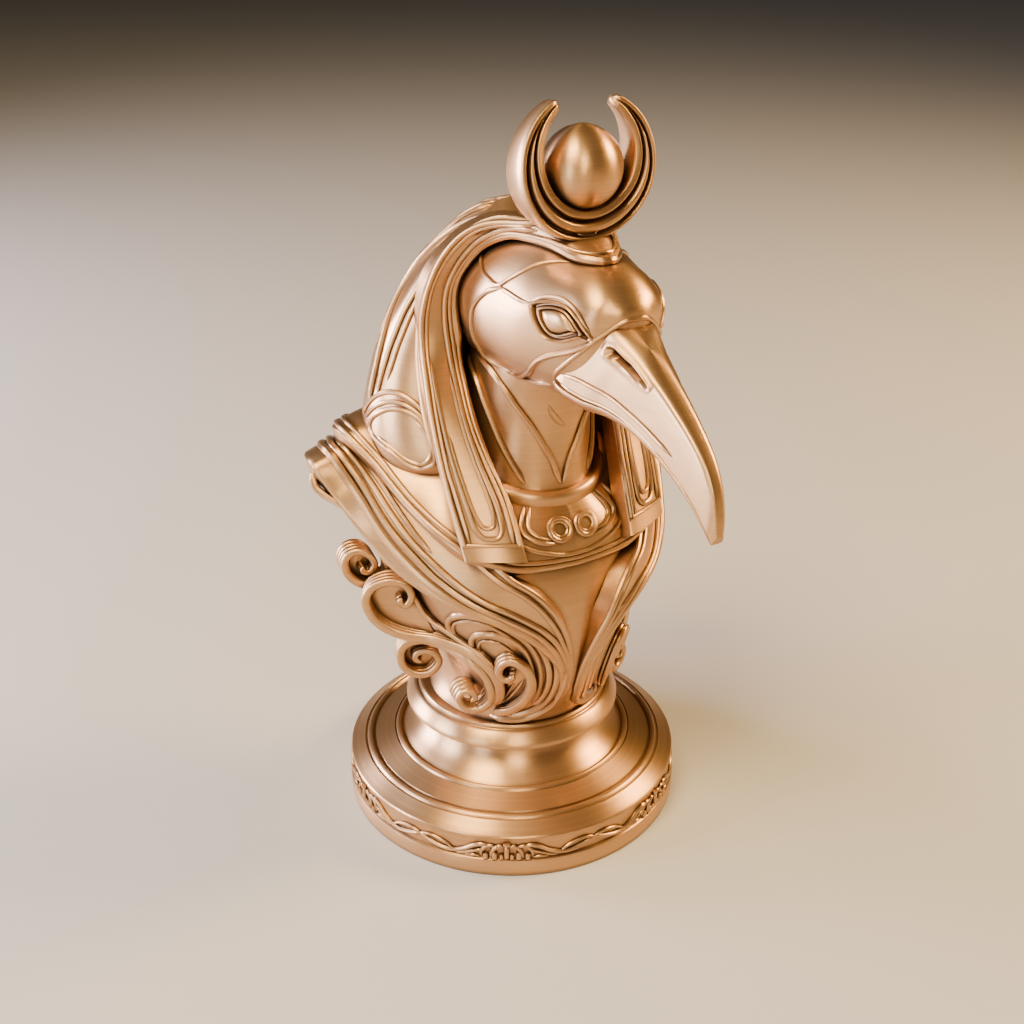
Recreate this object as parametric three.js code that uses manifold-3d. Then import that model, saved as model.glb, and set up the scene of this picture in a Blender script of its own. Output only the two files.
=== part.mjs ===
import * as THREE from 'three';
import { mergeVertices } from 'three/addons/utils/BufferGeometryUtils.js';
import Module from 'manifold-3d';

// Ibis-headed bust on a round plinth, printed in one piece. Millimetres, +Z up,
// origin at the middle of the plinth's underside, face towards -Y.

// Plinth sizes
const plinthRadius = 44;
const footBandHeight = 4.9;
const friezeHeight = 6.4;
const friezeInset = 0.9;
const brimInset = 1.9;
const brimHeight = 0.9;
const topGrooveRadius = 38.2;
const topGrooveWidth = 1.6;
const topGrooveDepth = 0.9;
const stepRise = 3.9;
const beadRadius = 30.9;
const beadWidth = 1.8;
const waistRadius = 23.2;
const waistHeight = 9.9;
const ringRadius = 28;
const ringLipHeight = 0.6;
const ringHeight = 4.5;
const rimRadius = 24.4;
const motifCount = 6;
const motifRelief = 1;
const pegRadius = 1.1;
const pegSpacing = 2.8;
const vineRadius = 0.8;

// Figure: from the plinth's top to the crown. Its rows are drawn in millimetres on a
// figure of drawn size, and are scaled to this height
const figureHeight = 127.3;

// Crescent and ball on the crown
const crescentRadius = 12.4;
const crescentSink = 0.6;
const ballRadius = 8.1;
const ballSink = 0.3;
const crestFootRadius = 6;

// Finish
const silkCopper = 0xb87b4f;

const brimTop = footBandHeight + friezeHeight + brimHeight;
const beadBase = brimTop + stepRise;
const waistBase = beadBase + beadWidth * 0.22;
const ringBase = waistBase + waistHeight;
const seatHeight = ringBase + ringLipHeight + ringHeight;

const wasm = await Module();
wasm.setup();

// Closed solids from rings of points

function toSolid(points, triangles) {
  let volume = 0;
  for (let i = 0; i < triangles.length; i += 3) {
    const [a, b, c] = [points[triangles[i]], points[triangles[i + 1]], points[triangles[i + 2]]];
    volume += a[0] * (b[1] * c[2] - b[2] * c[1]);
    volume += a[1] * (b[2] * c[0] - b[0] * c[2]);
    volume += a[2] * (b[0] * c[1] - b[1] * c[0]);
  }
  if (volume < 0) triangles.reverse();
  const vertProperties = new Float32Array(points.flat());
  const triVerts = new Uint32Array(triangles);
  return new wasm.Manifold(new wasm.Mesh({ numProp: 3, vertProperties, triVerts }));
}

function geometrySolid(geometry) {
  geometry.deleteAttribute('normal');
  geometry.deleteAttribute('uv');
  const merged = mergeVertices(geometry, 1e-4);
  const place = merged.getAttribute('position');
  const points = [];
  for (let i = 0; i < place.count; i += 1) points.push([place.getX(i), place.getY(i), place.getZ(i)]);
  const triangles = [];
  for (let i = 0; i < merged.index.count; i += 3) {
    const face = [merged.index.getX(i), merged.index.getX(i + 1), merged.index.getX(i + 2)];
    if (new Set(face).size === 3) triangles.push(...face);
  }
  return toSolid(points, triangles);
}

// Place on the figure of a point of the drawn rows
function figurePoint(p) {
  return [p[0] * share, p[1] * share, seatHeight + (p[2] - drawnSeat) * share];
}

// Rings of equal length joined one to the next, capped at both ends or closed into a loop
function skin(rings, loop = false) {
  const count = rings[0].length;
  const points = rings.flat();
  const triangles = [];
  const spans = loop ? rings.length : rings.length - 1;
  for (let i = 0; i < spans; i += 1) {
    const next = (i + 1) % rings.length;
    for (let j = 0; j < count; j += 1) {
      const k = (j + 1) % count;
      const [a, b, c, d] = [i * count + j, i * count + k, next * count + k, next * count + j];
      triangles.push(a, b, c, a, c, d);
    }
  }
  if (!loop) {
    for (const end of [0, rings.length - 1]) {
      const middle = [0, 1, 2].map((n) => rings[end].reduce((sum, p) => sum + p[n], 0) / count);
      points.push(middle);
      const centre = points.length - 1;
      for (let j = 0; j < count; j += 1) {
        const [a, b] = [end * count + j, end * count + (j + 1) % count];
        if (end === 0) triangles.push(b, a, centre);
        else triangles.push(a, b, centre);
      }
    }
  }
  return toSolid(points, triangles);
}

// The same for rings drawn on the figure, on either side of it
function figureSkin(rings, loop = false, side = 1) {
  return skin(rings.map((ring) => ring.map((p) => figurePoint([side * p[0], p[1], p[2]]))), loop);
}

// Smooth run through the rows of a list, with t from 0 to 1 over the whole list
function blend(rows, t) {
  const last = rows.length - 1;
  const along = Math.min(Math.max(t, 0), 1) * last;
  const i = Math.min(Math.floor(along), last - 1);
  const u = along - i;
  return rows[i].map((from, n) => {
    const to = rows[i + 1][n];
    const before = i > 0 ? rows[i - 1][n] : 2 * from - to;
    const after = i + 2 <= last ? rows[i + 2][n] : 2 * to - from;
    const a = 2 * before - 5 * from + 4 * to - after;
    const b = -before + 3 * from - 3 * to + after;
    return 0.5 * (2 * from + (to - before) * u + a * u * u + b * u * u * u);
  });
}

function power(value, exponent) {
  return Math.sign(value) * Math.abs(value) ** exponent;
}

// Rings from level sections: height, half width, front, back, middle, forward tilt, squareness
function levelRings(rows, steps, sides) {
  const rings = [];
  for (let i = 0; i <= steps; i += 1) {
    const [z, half, front, back, middle, tilt, square] = blend(rows, i / steps);
    const ring = [];
    for (let j = 0; j < sides; j += 1) {
      const angle = (j / sides) * Math.PI * 2;
      const x = half * power(Math.cos(angle), 2 / square);
      const q = power(Math.sin(angle), 2 / square);
      const y = q < 0 ? middle + (middle - front) * q : middle + (back - middle) * q;
      ring.push([x, y, z + tilt * y]);
    }
    rings.push(ring);
  }
  return rings;
}

const torsoRows = [
  [31, 22, -23.5, 22, 0, 0, 2],
  [36, 20.2, -25.5, 19.5, -1, 0, 2],
  [42, 20.6, -29, 18.5, -2, 0, 2],
  [49, 22.4, -31.6, 19, -3, 0, 2],
  [57, 26, -32.8, 20.5, -3, 0, 2],
  [65, 30.2, -33.2, 22, -3, 0, 2.05],
  [73, 34.2, -32.5, 24, -2, 0.02, 2.1],
  [80, 37.2, -31, 26, -1, 0.06, 2.15],
  [87, 39, -28.6, 27.5, 0, 0.14, 2.2],
  [92, 38.4, -26, 28.5, 1, 0.22, 2.2],
  [96.4, 36, -22.5, 28, 2, 0.3, 2.2],
  [99.4, 31.5, -19, 26, 2, 0.38, 2.2],
  [101.4, 24, -15, 21, 2, 0.42, 2.1],
  [102.4, 12, -10, 13, 2, 0.42, 2],
];

// A cape layer: its hem, its inner edge, thickness at the hem and the swell between
function capeRings(rows, steps, across, swell, loop) {
  const spans = loop ? steps : steps - 1;
  const rings = [];
  for (let i = 0; i < steps; i += 1) {
    const t = i / spans;
    const row = blend(rows, t);
    const before = blend(rows, loop ? (t + 0.996) % 1 : Math.max(t - 0.004, 0));
    const after = blend(rows, loop ? (t + 0.004) % 1 : Math.min(t + 0.004, 1));
    const hem = new THREE.Vector3(row[0], row[1], row[2]);
    const inner = new THREE.Vector3(row[3], row[4], row[5]);
    const along = new THREE.Vector3(after[0] + after[3], after[1] + after[4], after[2] + after[5]);
    along.sub(new THREE.Vector3(before[0] + before[3], before[1] + before[4], before[2] + before[5]));
    const out = new THREE.Vector3().crossVectors(along, inner.clone().sub(hem)).normalize();
    if (out.dot(hem.clone().sub(new THREE.Vector3(0, 0, 70))) < 0) out.negate();
    const width = hem.distanceTo(inner);
    const ring = [];
    for (let j = 0; j <= across; j += 1) {
      const v = j / across;
      const lift = swell * width * 4 * v * (1 - v);
      ring.push(hem.clone().lerp(inner, v).addScaledVector(out, lift));
    }
    ring.push(inner.clone().addScaledVector(out, -row[6] - 1));
    ring.push(hem.clone().lerp(inner, 0.5).addScaledVector(out, -row[6] - 0.6));
    ring.push(hem.clone().addScaledVector(out, -row[6]));
    rings.push(ring.map((p) => p.toArray()));
  }
  return rings;
}

// Mirror image of a row list on the other side, without its shared end rows
function bothSides(rows) {
  const other = rows.map(([x, y, z, ix, iy, iz, thick]) => [-x, y, z, -ix, iy, iz, thick]);
  return rows.concat(other.reverse().slice(1));
}

// Hem x y z, inner edge x y z, thickness: from the bottom of the front opening
// round the shoulder to the middle of the back
const mantleRows = [
  [-3.4, -28.6, 39.5, -2.2, -28.8, 40.5, 2.6],
  [-3.2, -31, 47, -1.4, -31.8, 48.5, 2.8],
  [-6.4, -33.2, 55.5, -3, -34.5, 57.3, 3],
  [-13.8, -32, 62.9, -6.2, -36.6, 66.5, 3.2],
  [-20.8, -29.5, 67.2, -11.4, -34.8, 74.3, 3.4],
  [-27.3, -25, 70.4, -17.6, -30.6, 79.4, 3.6],
  [-33.4, -18.6, 74.2, -22.2, -23, 86, 3.8],
  [-38.4, -10.8, 78.9, -26.8, -14.8, 91, 4],
  [-42, -4, 85, -29.8, -6.8, 96, 4.4],
  [-46, 1, 92, -32, 0.4, 99.8, 5],
  [-50.4, 5.6, 100.2, -35, 7, 103, 6],
  [-48.6, 15, 99.6, -33, 12.6, 102.8, 6],
  [-40, 24.5, 94, -29, 20, 101, 5],
  [-26, 31.5, 87.5, -18, 25.5, 97, 4.4],
  [-12, 34.5, 83, -8, 28, 94.5, 4],
  [0, 35.2, 81.5, 0, 28.6, 93.8, 4],
];

const collarRows = [
  [0, -32.4, 79.6, 0, -26, 92.4, 3.6],
  [-8, -32, 79.9, -6, -24.8, 92.8, 3.6],
  [-16, -30.6, 80.8, -11, -21.2, 93.8, 3.6],
  [-24, -27, 84, -14.6, -15.8, 95.6, 3.6],
  [-29.6, -20.6, 88.4, -16.4, -9.6, 97.8, 3.6],
  [-33.6, -11.6, 93.4, -17, -3, 101, 3.6],
  [-37, -2.6, 100, -17, 2.4, 104.6, 3.8],
  [-41.2, 6.4, 106, -16, 6.6, 107, 4],
  [-40, 15, 105.2, -14, 10.4, 108, 4],
  [-31, 22.6, 101, -10, 13, 108.4, 4],
  [-16, 28.8, 97, -5, 14.6, 108.6, 4],
  [0, 30.8, 95.6, 0, 15, 108.6, 4],
];

const neckRows = [
  [86, 18, -26, 8, -8.5, 0, 2],
  [92, 16.6, -25.4, 7, -8.5, 0, 2],
  [97, 15, -24.2, 6, -8.5, 0, 2],
  [103, 14.4, -23.8, 6, -8.5, 0, 2],
  [111, 13.8, -24, 7, -9, 0, 2],
  [118, 13.8, -26, 8, -10, 0, 2],
  [125, 13.4, -29, 8, -11, 0, 2],
  [131, 12, -28, 6, -12, 0, 2],
];

// Hood: level sections of its outside up to the crown, and of the hollow behind the neck
const hoodRows = [
  [95, 35.4, -23, 29, 4, -0.3, 2.1],
  [104, 36.2, -22, 27.4, 4, -0.1, 2.1],
  [112, 35.4, -19.5, 25.4, 4, 0, 2.05],
  [121, 33, -15.8, 24, 4.4, 0, 2],
  [130, 29.8, -14.6, 21.8, 4, 0, 2],
  [138, 26.2, -17, 18.8, 1, 0, 2],
  [145, 23.2, -23, 15.6, -4, 0, 2],
  [150.5, 19.4, -31, 11.4, -9, 0, 2],
  [154.8, 15, -35.5, 6.6, -12, 0, 2],
  [157.6, 10, -34, 0, -14, 0, 2],
  [158.8, 4, -24, -8, -15, 0, 2],
];
const hoodHollowRows = [
  [86, 18.4, -60, 1, -14, 0, 2.6],
  [100, 18.2, -60, 3.4, -14, 0, 2.6],
  [115, 17.8, -60, 4, -14, 0, 2.6],
  [128, 17.4, -60, 2, -14, 0, 2.6],
  [138, 15, -60, -2, -14, 0, 2.6],
];
const faceOpening = [
  [-38.5, 152.6], [-33, 154.4], [-27, 154.6], [-19, 153], [-13.4, 149.6], [-9.6, 144.4], [-7.8, 139],
  [-6.4, 131], [-7.4, 125], [-11, 118], [-15.6, 111], [-21, 103], [-27, 93], [-70, 93], [-70, 152.6],
];

const drawnSeat = torsoRows[0][0] + 0.5;
const drawnCrown = hoodRows[hoodRows.length - 1][0];
const share = figureHeight / (drawnCrown - drawnSeat);

// Band and lappet: hem is the outer edge, from the lappet's foot over the head to the brow
const lappetRows = [
  [-26.4, -27.6, 84.3, -15, -33.2, 83.8, 3.2],
  [-27.2, -22, 95, -15.3, -27.2, 95, 3.2],
  [-27.6, -17.4, 104, -15.6, -21.6, 103.5, 3.2],
  [-27.6, -13.6, 113, -16.2, -15.6, 112.5, 3.2],
  [-27.2, -9.6, 122, -17.4, -9.4, 122.5, 3.4],
  [-26.6, -6.6, 130, -18, -7.9, 131.5, 3.6],
  [-26, -6.8, 137.5, -18.5, -9.2, 139, 3.8],
  [-24.6, -7.6, 143.5, -18.4, -11, 144.5, 3.8],
  [-21.6, -9, 149.4, -17.4, -14.6, 149.6, 3.8],
  [-17.4, -12, 154.4, -15.6, -19.6, 153.2, 3.6],
  [-12.6, -17, 157.8, -12.8, -26.4, 155.2, 3.4],
  [-8, -23, 159, -8.6, -32.8, 155.6, 3.2],
  [-4.2, -28, 158.6, -4, -37.6, 154, 3],
  [0, -30.4, 158, 0, -39.4, 153, 3],
];

// Head: sections across the face. y, top, bottom, widest height, half width
const headRows = [
  [3, 148, 126, 137, 9],
  [-3, 152, 121, 137, 16.4],
  [-12, 154.4, 120, 138, 17.6],
  [-21, 155.2, 120.4, 138.8, 17],
  [-29, 154.2, 121, 139.8, 16],
  [-36, 152.4, 121.8, 140.8, 14.4],
  [-42, 151.8, 123.4, 141.6, 12.2],
  [-46, 150.8, 126.6, 142.6, 10.2],
  [-49, 149, 132, 143.8, 7.8],
  [-51, 147, 138.6, 144.2, 4.6],
];

// Beak: ridge y z, keel y z, half width
const beakRows = [
  [-43, 145.4, -36, 122.6, 9],
  [-51.4, 141.8, -43.5, 122.2, 8],
  [-57.6, 138.4, -50.5, 122.4, 6.5],
  [-63, 135, -57, 121.9, 5.3],
  [-69, 131.2, -63.8, 120, 4.4],
  [-74.6, 127.1, -69.8, 117.2, 3.6],
  [-78.9, 123, -74.8, 114.2, 3],
  [-81.6, 118.6, -78.4, 111.2, 2.4],
  [-83, 113.6, -81, 108.6, 1.9],
  [-83.5, 109.4, -82.2, 107.2, 1.3],
];

function headRings(steps, sides) {
  const rings = [];
  for (let i = 0; i <= steps; i += 1) {
    const [y, top, bottom, middle, half] = blend(headRows, i / steps);
    const ring = [];
    for (let j = 0; j < sides; j += 1) {
      const angle = (j / sides) * Math.PI * 2;
      const rise = Math.sin(angle);
      const z = rise > 0 ? middle + (top - middle) * rise : middle + (middle - bottom) * rise;
      ring.push([half * power(Math.cos(angle), 0.92), y, z]);
    }
    rings.push(ring);
  }
  return rings;
}

function beakRings(steps, sides) {
  const rings = [];
  for (let i = 0; i <= steps; i += 1) {
    const [ridgeY, ridgeZ, keelY, keelZ, half] = blend(beakRows, i / steps);
    const ring = [];
    for (let j = 0; j < sides; j += 1) {
      const angle = (j / sides) * Math.PI * 2;
      const rise = 0.5 + 0.5 * Math.sin(angle);
      const widest = 1.15 - 0.3 * rise;
      const x = half * widest * Math.cos(angle);
      ring.push([x, keelY + (ridgeY - keelY) * rise, keelZ + (ridgeZ - keelZ) * rise]);
    }
    rings.push(ring);
  }
  return rings;
}

// Crescent, upright over the brow: middle radius, half width and half depth from its foot
// to its tip, as shares of its radius at the foot
const crescentRows = [
  [1, 0.274, 0.371],
  [1.016, 0.274, 0.371],
  [1.048, 0.25, 0.355],
  [1.073, 0.185, 0.258],
  [1.081, 0.089, 0.145],
];
const crestPlace = [0, -29.8, drawnCrown];

function crescentRings(steps, centre) {
  const turnEachWay = Math.PI * 0.847;
  const rings = [];
  for (let i = -steps; i <= steps; i += 1) {
    const [radius, half, deep] = blend(crescentRows, Math.abs(i) / steps).map((n) => n * crescentRadius);
    const angle = (i / steps) * turnEachWay;
    const outline = [[-1, -0.6], [-0.6, -1], [0.6, -1], [1, -0.75], [1, 0.75], [0.6, 1], [-0.6, 1], [-1, 0.6]];
    rings.push(outline.map(([across, deepness]) => {
      const r = radius + half * across;
      return [centre[0] + r * Math.sin(angle), centre[1] + deep * deepness, centre[2] - r * Math.cos(angle)];
    }));
  }
  return rings;
}

// Round bars along smooth paths, thinning towards the tip
function bar(points, thick, thin, steps, sides, side) {
  const path = new THREE.CatmullRomCurve3(points.map((p) => new THREE.Vector3(...p)));
  const frames = path.computeFrenetFrames(steps, false);
  const rings = [];
  for (let i = 0; i <= steps; i += 1) {
    const centre = path.getPointAt(i / steps);
    const radius = thick + (thin - thick) * (i / steps);
    const ring = [];
    for (let j = 0; j < sides; j += 1) {
      const angle = (j / sides) * Math.PI * 2;
      const p = centre.clone().addScaledVector(frames.normals[i], radius * Math.cos(angle));
      p.addScaledVector(frames.binormals[i], radius * Math.sin(angle));
      ring.push(p.toArray());
    }
    rings.push(ring);
  }
  return figureSkin(rings, false, side);
}

// Leaf scrolls on each flank, as paths with a root and a tip thickness
const scrolls = [
  { thick: 2.2, thin: 1.7, path: [
    [-37.4, 2, 86], [-36.1, 1, 79], [-34.5, 0, 74.4], [-35.6, -1, 70.9], [-39.7, -1, 69.4], [-43.8, 0, 71.6],
    [-45.3, 1, 76.1], [-42.6, 1, 78.5], [-39.7, 0, 77.3], [-38.4, 0, 74], [-40.6, 1, 72.8]] },
  { thick: 3.3, thin: 1.7, path: [
    [-17, -20.6, 43], [-20.9, -21, 53.6], [-25.5, -16.6, 57.6], [-30.6, -10.6, 59], [-36.6, -6, 61.4],
    [-40.1, -3, 65.4], [-39.9, -2, 69.5], [-36.5, -4, 72.3], [-32.7, -7, 70.9], [-31.6, -8, 67.1]] },
  { thick: 3.3, thin: 1.7, path: [
    [-15.1, -20, 38.8], [-18.7, -21.6, 47.7], [-22.5, -17, 51.9], [-26.3, -10, 52.3], [-30.3, -5, 51.9],
    [-33.2, -2, 48.2], [-32.8, -2, 43.3], [-29.2, -4, 41.4], [-26, -7, 44.1], [-26.6, -7, 47.3]] },
  { thick: 2.8, thin: 1.8, path: [
    [-4.7, -30.4, 43.8], [-8, -27.4, 38.3], [-12.9, -23, 35.1], [-17.1, -18.5, 34.4], [-20.6, -14.5, 35.2],
    [-24, -14, 40.4], [-23.2, -15, 45.5], [-19.9, -17, 46.6], [-17.4, -18, 43.1]] },
  { thick: 1.7, thin: 1.4, path: [
    [-8.4, -27.6, 39.5], [-9.9, -29.4, 48], [-12, -29.6, 52.4], [-14.6, -28, 53.4], [-16.4, -25.4, 50.2],
    [-15.2, -25, 46.2]] },
];

function plinthSolid() {
  const brimRadius = plinthRadius - brimInset;
  const slope = stepRise / (brimRadius - beadRadius);
  const outer = topGrooveRadius + topGrooveWidth / 2;
  const inner = topGrooveRadius - topGrooveWidth / 2;
  const slopeAt = (radius) => brimTop + (brimRadius - radius) * slope;
  const waistOut = beadRadius - beadWidth;
  const profile = [
    [0, 0],
    [plinthRadius, 0],
    [plinthRadius, footBandHeight - friezeInset * 0.5],
    [plinthRadius - friezeInset, footBandHeight],
    [plinthRadius - friezeInset, footBandHeight + friezeHeight],
    [brimRadius, brimTop],
    [outer, slopeAt(outer)],
    [topGrooveRadius, slopeAt(topGrooveRadius) - topGrooveDepth],
    [inner, slopeAt(inner)],
    [beadRadius, beadBase],
    [beadRadius - beadWidth * 0.25, beadBase + beadWidth * 0.3],
    [beadRadius - beadWidth * 0.75, beadBase + beadWidth * 0.3],
  ];
  for (let i = 1; i <= 6; i += 1) {
    const t = i / 6;
    const sink = Math.sin(Math.PI * Math.min(t * 0.5, 0.5));
    const flare = Math.max(t - 0.62, 0) / 0.38;
    const radius = waistOut - (waistOut - waistRadius) * sink + (ringRadius - waistRadius) * 0.86 * flare ** 2;
    profile.push([radius, waistBase + waistHeight * t]);
  }
  profile.push([ringRadius, ringBase + ringLipHeight]);
  profile.push([rimRadius + ringLipHeight * 2, seatHeight - ringLipHeight]);
  profile.push([rimRadius, seatHeight]);
  profile.push([0, seatHeight]);
  const lathe = new THREE.LatheGeometry(profile.map(([x, y]) => new THREE.Vector2(x, y)), 32);
  lathe.rotateX(Math.PI / 2);
  return geometrySolid(lathe);
}

// Frieze motif: a tall middle peg, short pegs either side and a vine swinging to the next motif
function friezeSolids() {
  const solids = [];
  const wall = plinthRadius - friezeInset;
  const foot = footBandHeight - pegRadius * 0.4;
  const pitch = (Math.PI * 2) / motifCount;
  const tallPeg = friezeHeight * 0.78;
  const shortPeg = friezeHeight * 0.5;
  const pegs = [[0, tallPeg], [-pegSpacing, shortPeg], [pegSpacing, shortPeg]];
  for (let i = 0; i < motifCount; i += 1) {
    const turn = (i + 0.5) * pitch - Math.PI / 2;
    for (const [side, tall] of pegs) {
      const peg = new THREE.CylinderGeometry(pegRadius, pegRadius, tall, 6);
      peg.rotateX(Math.PI / 2);
      const angle = turn + side / wall;
      peg.translate(wall * Math.cos(angle), wall * Math.sin(angle), foot + tall / 2);
      solids.push(geometrySolid(peg));
    }
    const rings = [];
    const steps = 6;
    for (let n = 0; n <= steps; n += 1) {
      const t = n / steps;
      const angle = turn + (0.12 + 0.76 * t) * pitch;
      const swing = 0.5 - 0.5 * Math.cos(t * Math.PI * 2);
      const height = foot + vineRadius + (friezeHeight - vineRadius * 2) * (0.5 - 0.42 * swing);
      const ring = [];
      for (let j = 0; j < 4; j += 1) {
        const spin = (j / 4) * Math.PI * 2;
        const out = wall - vineRadius + motifRelief + vineRadius * Math.cos(spin);
        ring.push([out * Math.cos(angle), out * Math.sin(angle), height + vineRadius * Math.sin(spin)]);
      }
      rings.push(ring);
    }
    solids.push(skin(rings));
  }
  return solids;
}

function hoodSolid() {
  const outside = figureSkin(levelRings(hoodRows, 12, 22));
  const hollow = figureSkin(levelRings(hoodHollowRows, 4, 14));
  const shape = new THREE.Shape(faceOpening.map(([y, z]) => new THREE.Vector2(y, z)));
  const face = new THREE.ExtrudeGeometry(shape, { depth: 80, bevelEnabled: false });
  face.translate(0, 0, -40);
  const turned = face.getAttribute('position');
  for (let i = 0; i < turned.count; i += 1) {
    const [y, z, x] = [turned.getX(i), turned.getY(i), turned.getZ(i)];
    turned.setXYZ(i, ...figurePoint([x, y, z]));
  }
  return outside.subtract(hollow).subtract(geometrySolid(face));
}

// Crescent, the ball resting in it and the foot under both, standing on the crown
function crestSolids() {
  const [, forward, crown] = figurePoint(crestPlace);
  const centre = [0, forward, crown + crescentRadius - crescentSink];
  const inside = crescentRadius * (crescentRows[0][0] - crescentRows[0][1]);
  const ball = new THREE.SphereGeometry(ballRadius, 16, 8);
  ball.rotateX(Math.PI / 2);
  ball.translate(0, forward, centre[2] - inside + ballRadius - ballSink);
  const foot = new THREE.CylinderGeometry(crestFootRadius, crestFootRadius, crestFootRadius, 18);
  foot.rotateX(Math.PI / 2);
  foot.scale(1, 0.8, 1);
  foot.translate(0, forward, crown - crestFootRadius * 0.63);
  return [skin(crescentRings(11, centre)), geometrySolid(ball), geometrySolid(foot)];
}

// Rolled band round the foot of the neck
function neckBandSolid() {
  const rings = [];
  const steps = 22;
  for (let i = 0; i < steps; i += 1) {
    const angle = (i / steps) * Math.PI * 2;
    const rise = 98 + 4.4 * Math.sin(angle);
    const ring = [];
    for (const [out, up] of [[1.5, -2.6], [1.9, 0.4], [0.9, 1.7], [-1.4, 1.7], [-2.6, -2.6]]) {
      ring.push([(16.2 + out) * Math.cos(angle), -8.4 + (16.2 + out) * Math.sin(angle), rise + up]);
    }
    rings.push(ring);
  }
  return figureSkin(rings, true);
}

const parts = [plinthSolid(), ...friezeSolids(), hoodSolid(), ...crestSolids(), neckBandSolid()];
parts.push(figureSkin(levelRings(torsoRows, 13, 24)));
parts.push(figureSkin(levelRings(neckRows, 6, 16)));
parts.push(figureSkin(headRings(12, 18)));
parts.push(figureSkin(beakRings(11, 10)));
const mantle = bothSides(mantleRows);
parts.push(figureSkin(capeRings(mantle, 37, 2, 0.06, false)));
const collar = bothSides(collarRows);
parts.push(figureSkin(capeRings(collar, 28, 2, 0.1, true), true));
const lappets = bothSides(lappetRows);
parts.push(figureSkin(capeRings(lappets, 29, 2, 0.05, false)));
for (const side of [1, -1]) {
  for (const { thick, thin, path } of scrolls) parts.push(bar(path, thick, thin, 13, 5, side));
}

const whole = parts.reduce((sum, part) => sum.add(part));
const mesh = whole.getMesh();
const geometry = new THREE.BufferGeometry();
const positions = new Float32Array(mesh.numVert * 3);
for (let i = 0; i < mesh.numVert; i += 1) {
  for (let n = 0; n < 3; n += 1) positions[i * 3 + n] = mesh.vertProperties[i * mesh.numProp + n];
}
geometry.setAttribute('position', new THREE.BufferAttribute(positions, 3));
geometry.setIndex(new THREE.BufferAttribute(new Uint32Array(mesh.triVerts), 1));
geometry.computeVertexNormals();

const finish = new THREE.MeshStandardMaterial({ color: silkCopper, roughness: 0.36, metalness: 0.75 });
const bust = new THREE.Mesh(geometry, finish);
bust.name = 'thoth_bust';
const group = new THREE.Group();
group.add(bust);

export default group;
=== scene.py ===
import math

import bpy
import numpy as np
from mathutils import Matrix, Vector
from mathutils.bvhtree import BVHTree


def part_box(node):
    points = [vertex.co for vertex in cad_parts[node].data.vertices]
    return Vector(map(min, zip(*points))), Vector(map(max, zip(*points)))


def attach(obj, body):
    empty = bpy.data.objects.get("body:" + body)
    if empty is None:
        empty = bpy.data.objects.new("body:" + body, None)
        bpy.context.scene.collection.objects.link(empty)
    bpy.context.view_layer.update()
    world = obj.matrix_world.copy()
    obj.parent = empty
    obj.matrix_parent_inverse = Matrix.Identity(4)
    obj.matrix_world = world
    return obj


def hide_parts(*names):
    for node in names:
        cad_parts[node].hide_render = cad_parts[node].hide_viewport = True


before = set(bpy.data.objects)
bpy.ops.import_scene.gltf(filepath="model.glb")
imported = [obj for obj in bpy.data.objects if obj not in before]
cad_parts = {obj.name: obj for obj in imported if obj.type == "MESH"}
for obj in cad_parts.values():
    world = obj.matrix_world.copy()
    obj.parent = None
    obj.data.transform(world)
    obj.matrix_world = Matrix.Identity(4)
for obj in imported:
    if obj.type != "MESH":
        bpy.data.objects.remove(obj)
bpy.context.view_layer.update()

# Ibis-headed bust, printed in silk copper plastic. Rows and paths are drawn in millimetres
# from the middle of the plinth's underside, with the face towards -Y.

bustNode = "thoth_bust"
nodeLow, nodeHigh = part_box(bustNode)
drawnHeight = 183.46  # crescent tips above the floor
mm = (nodeHigh[2] - nodeLow[2]) / drawnHeight
finishedPieces = []


# Rows, rings and meshes

def blendRows(rows, t):  # smooth run through the rows, t from 0 to 1
    rows = np.asarray(rows, float)
    last = len(rows) - 1
    along = np.clip(t, 0, 1) * last
    i = np.minimum(np.floor(along).astype(int), last - 1)
    u = (along - i)[:, None]
    here, ahead = rows[i], rows[i + 1]
    behind = np.where((i > 0)[:, None], rows[np.maximum(i - 1, 0)], 2 * here - ahead)
    beyond = np.where((i + 2 <= last)[:, None], rows[np.minimum(i + 2, last)], 2 * ahead - here)
    curve = 2 * here + (ahead - behind) * u
    curve += (2 * behind - 5 * here + 4 * ahead - beyond) * u ** 2
    curve += (3 * here - behind - 3 * ahead + beyond) * u ** 3
    return curve / 2


def smoothPath(points, spacing):  # evenly spaced points along a smooth path
    points = np.asarray(points, float)
    fine = blendRows(points, np.linspace(0, 1, 40 * len(points)))  # 40 steps a point are near enough
    gone = np.concatenate([[0], np.cumsum(np.linalg.norm(np.diff(fine[:, :3], axis=0), axis=1))])
    count = max(int(gone[-1] / spacing), 4)
    even = np.linspace(0, gone[-1], count + 1)
    return np.stack([np.interp(even, gone, fine[:, n]) for n in range(fine.shape[1])], 1)


def power(value, exponent):  # keeps the sign
    return np.sign(value) * np.abs(value) ** exponent


def easeIn(value):  # 0 to 1 with level ends
    value = np.clip(value, 0, 1)
    return value * value * (3 - 2 * value)


def unit(vectors):
    return vectors / np.linalg.norm(vectors, axis=1, keepdims=True)


def roundTurn(count):  # angles of so many even steps round
    return np.arange(count) / count * 2 * np.pi


def fromEnds(path, spacing):  # distance of each point from the nearer end
    count = np.arange(len(path))
    return np.minimum(count, count[::-1]) * spacing


def taperedEnds(path, spacing, over, least, start=0.05, bluntness=0.6):  # share of the full width
    return np.clip((fromEnds(path, spacing) + start) / over, least, 1) ** bluntness


def roundEnd(share, least, exponent=2):  # share of the full width, where the given share is 1 at the tip
    return np.sqrt(np.clip(1 - share ** exponent, least, 1))


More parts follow.
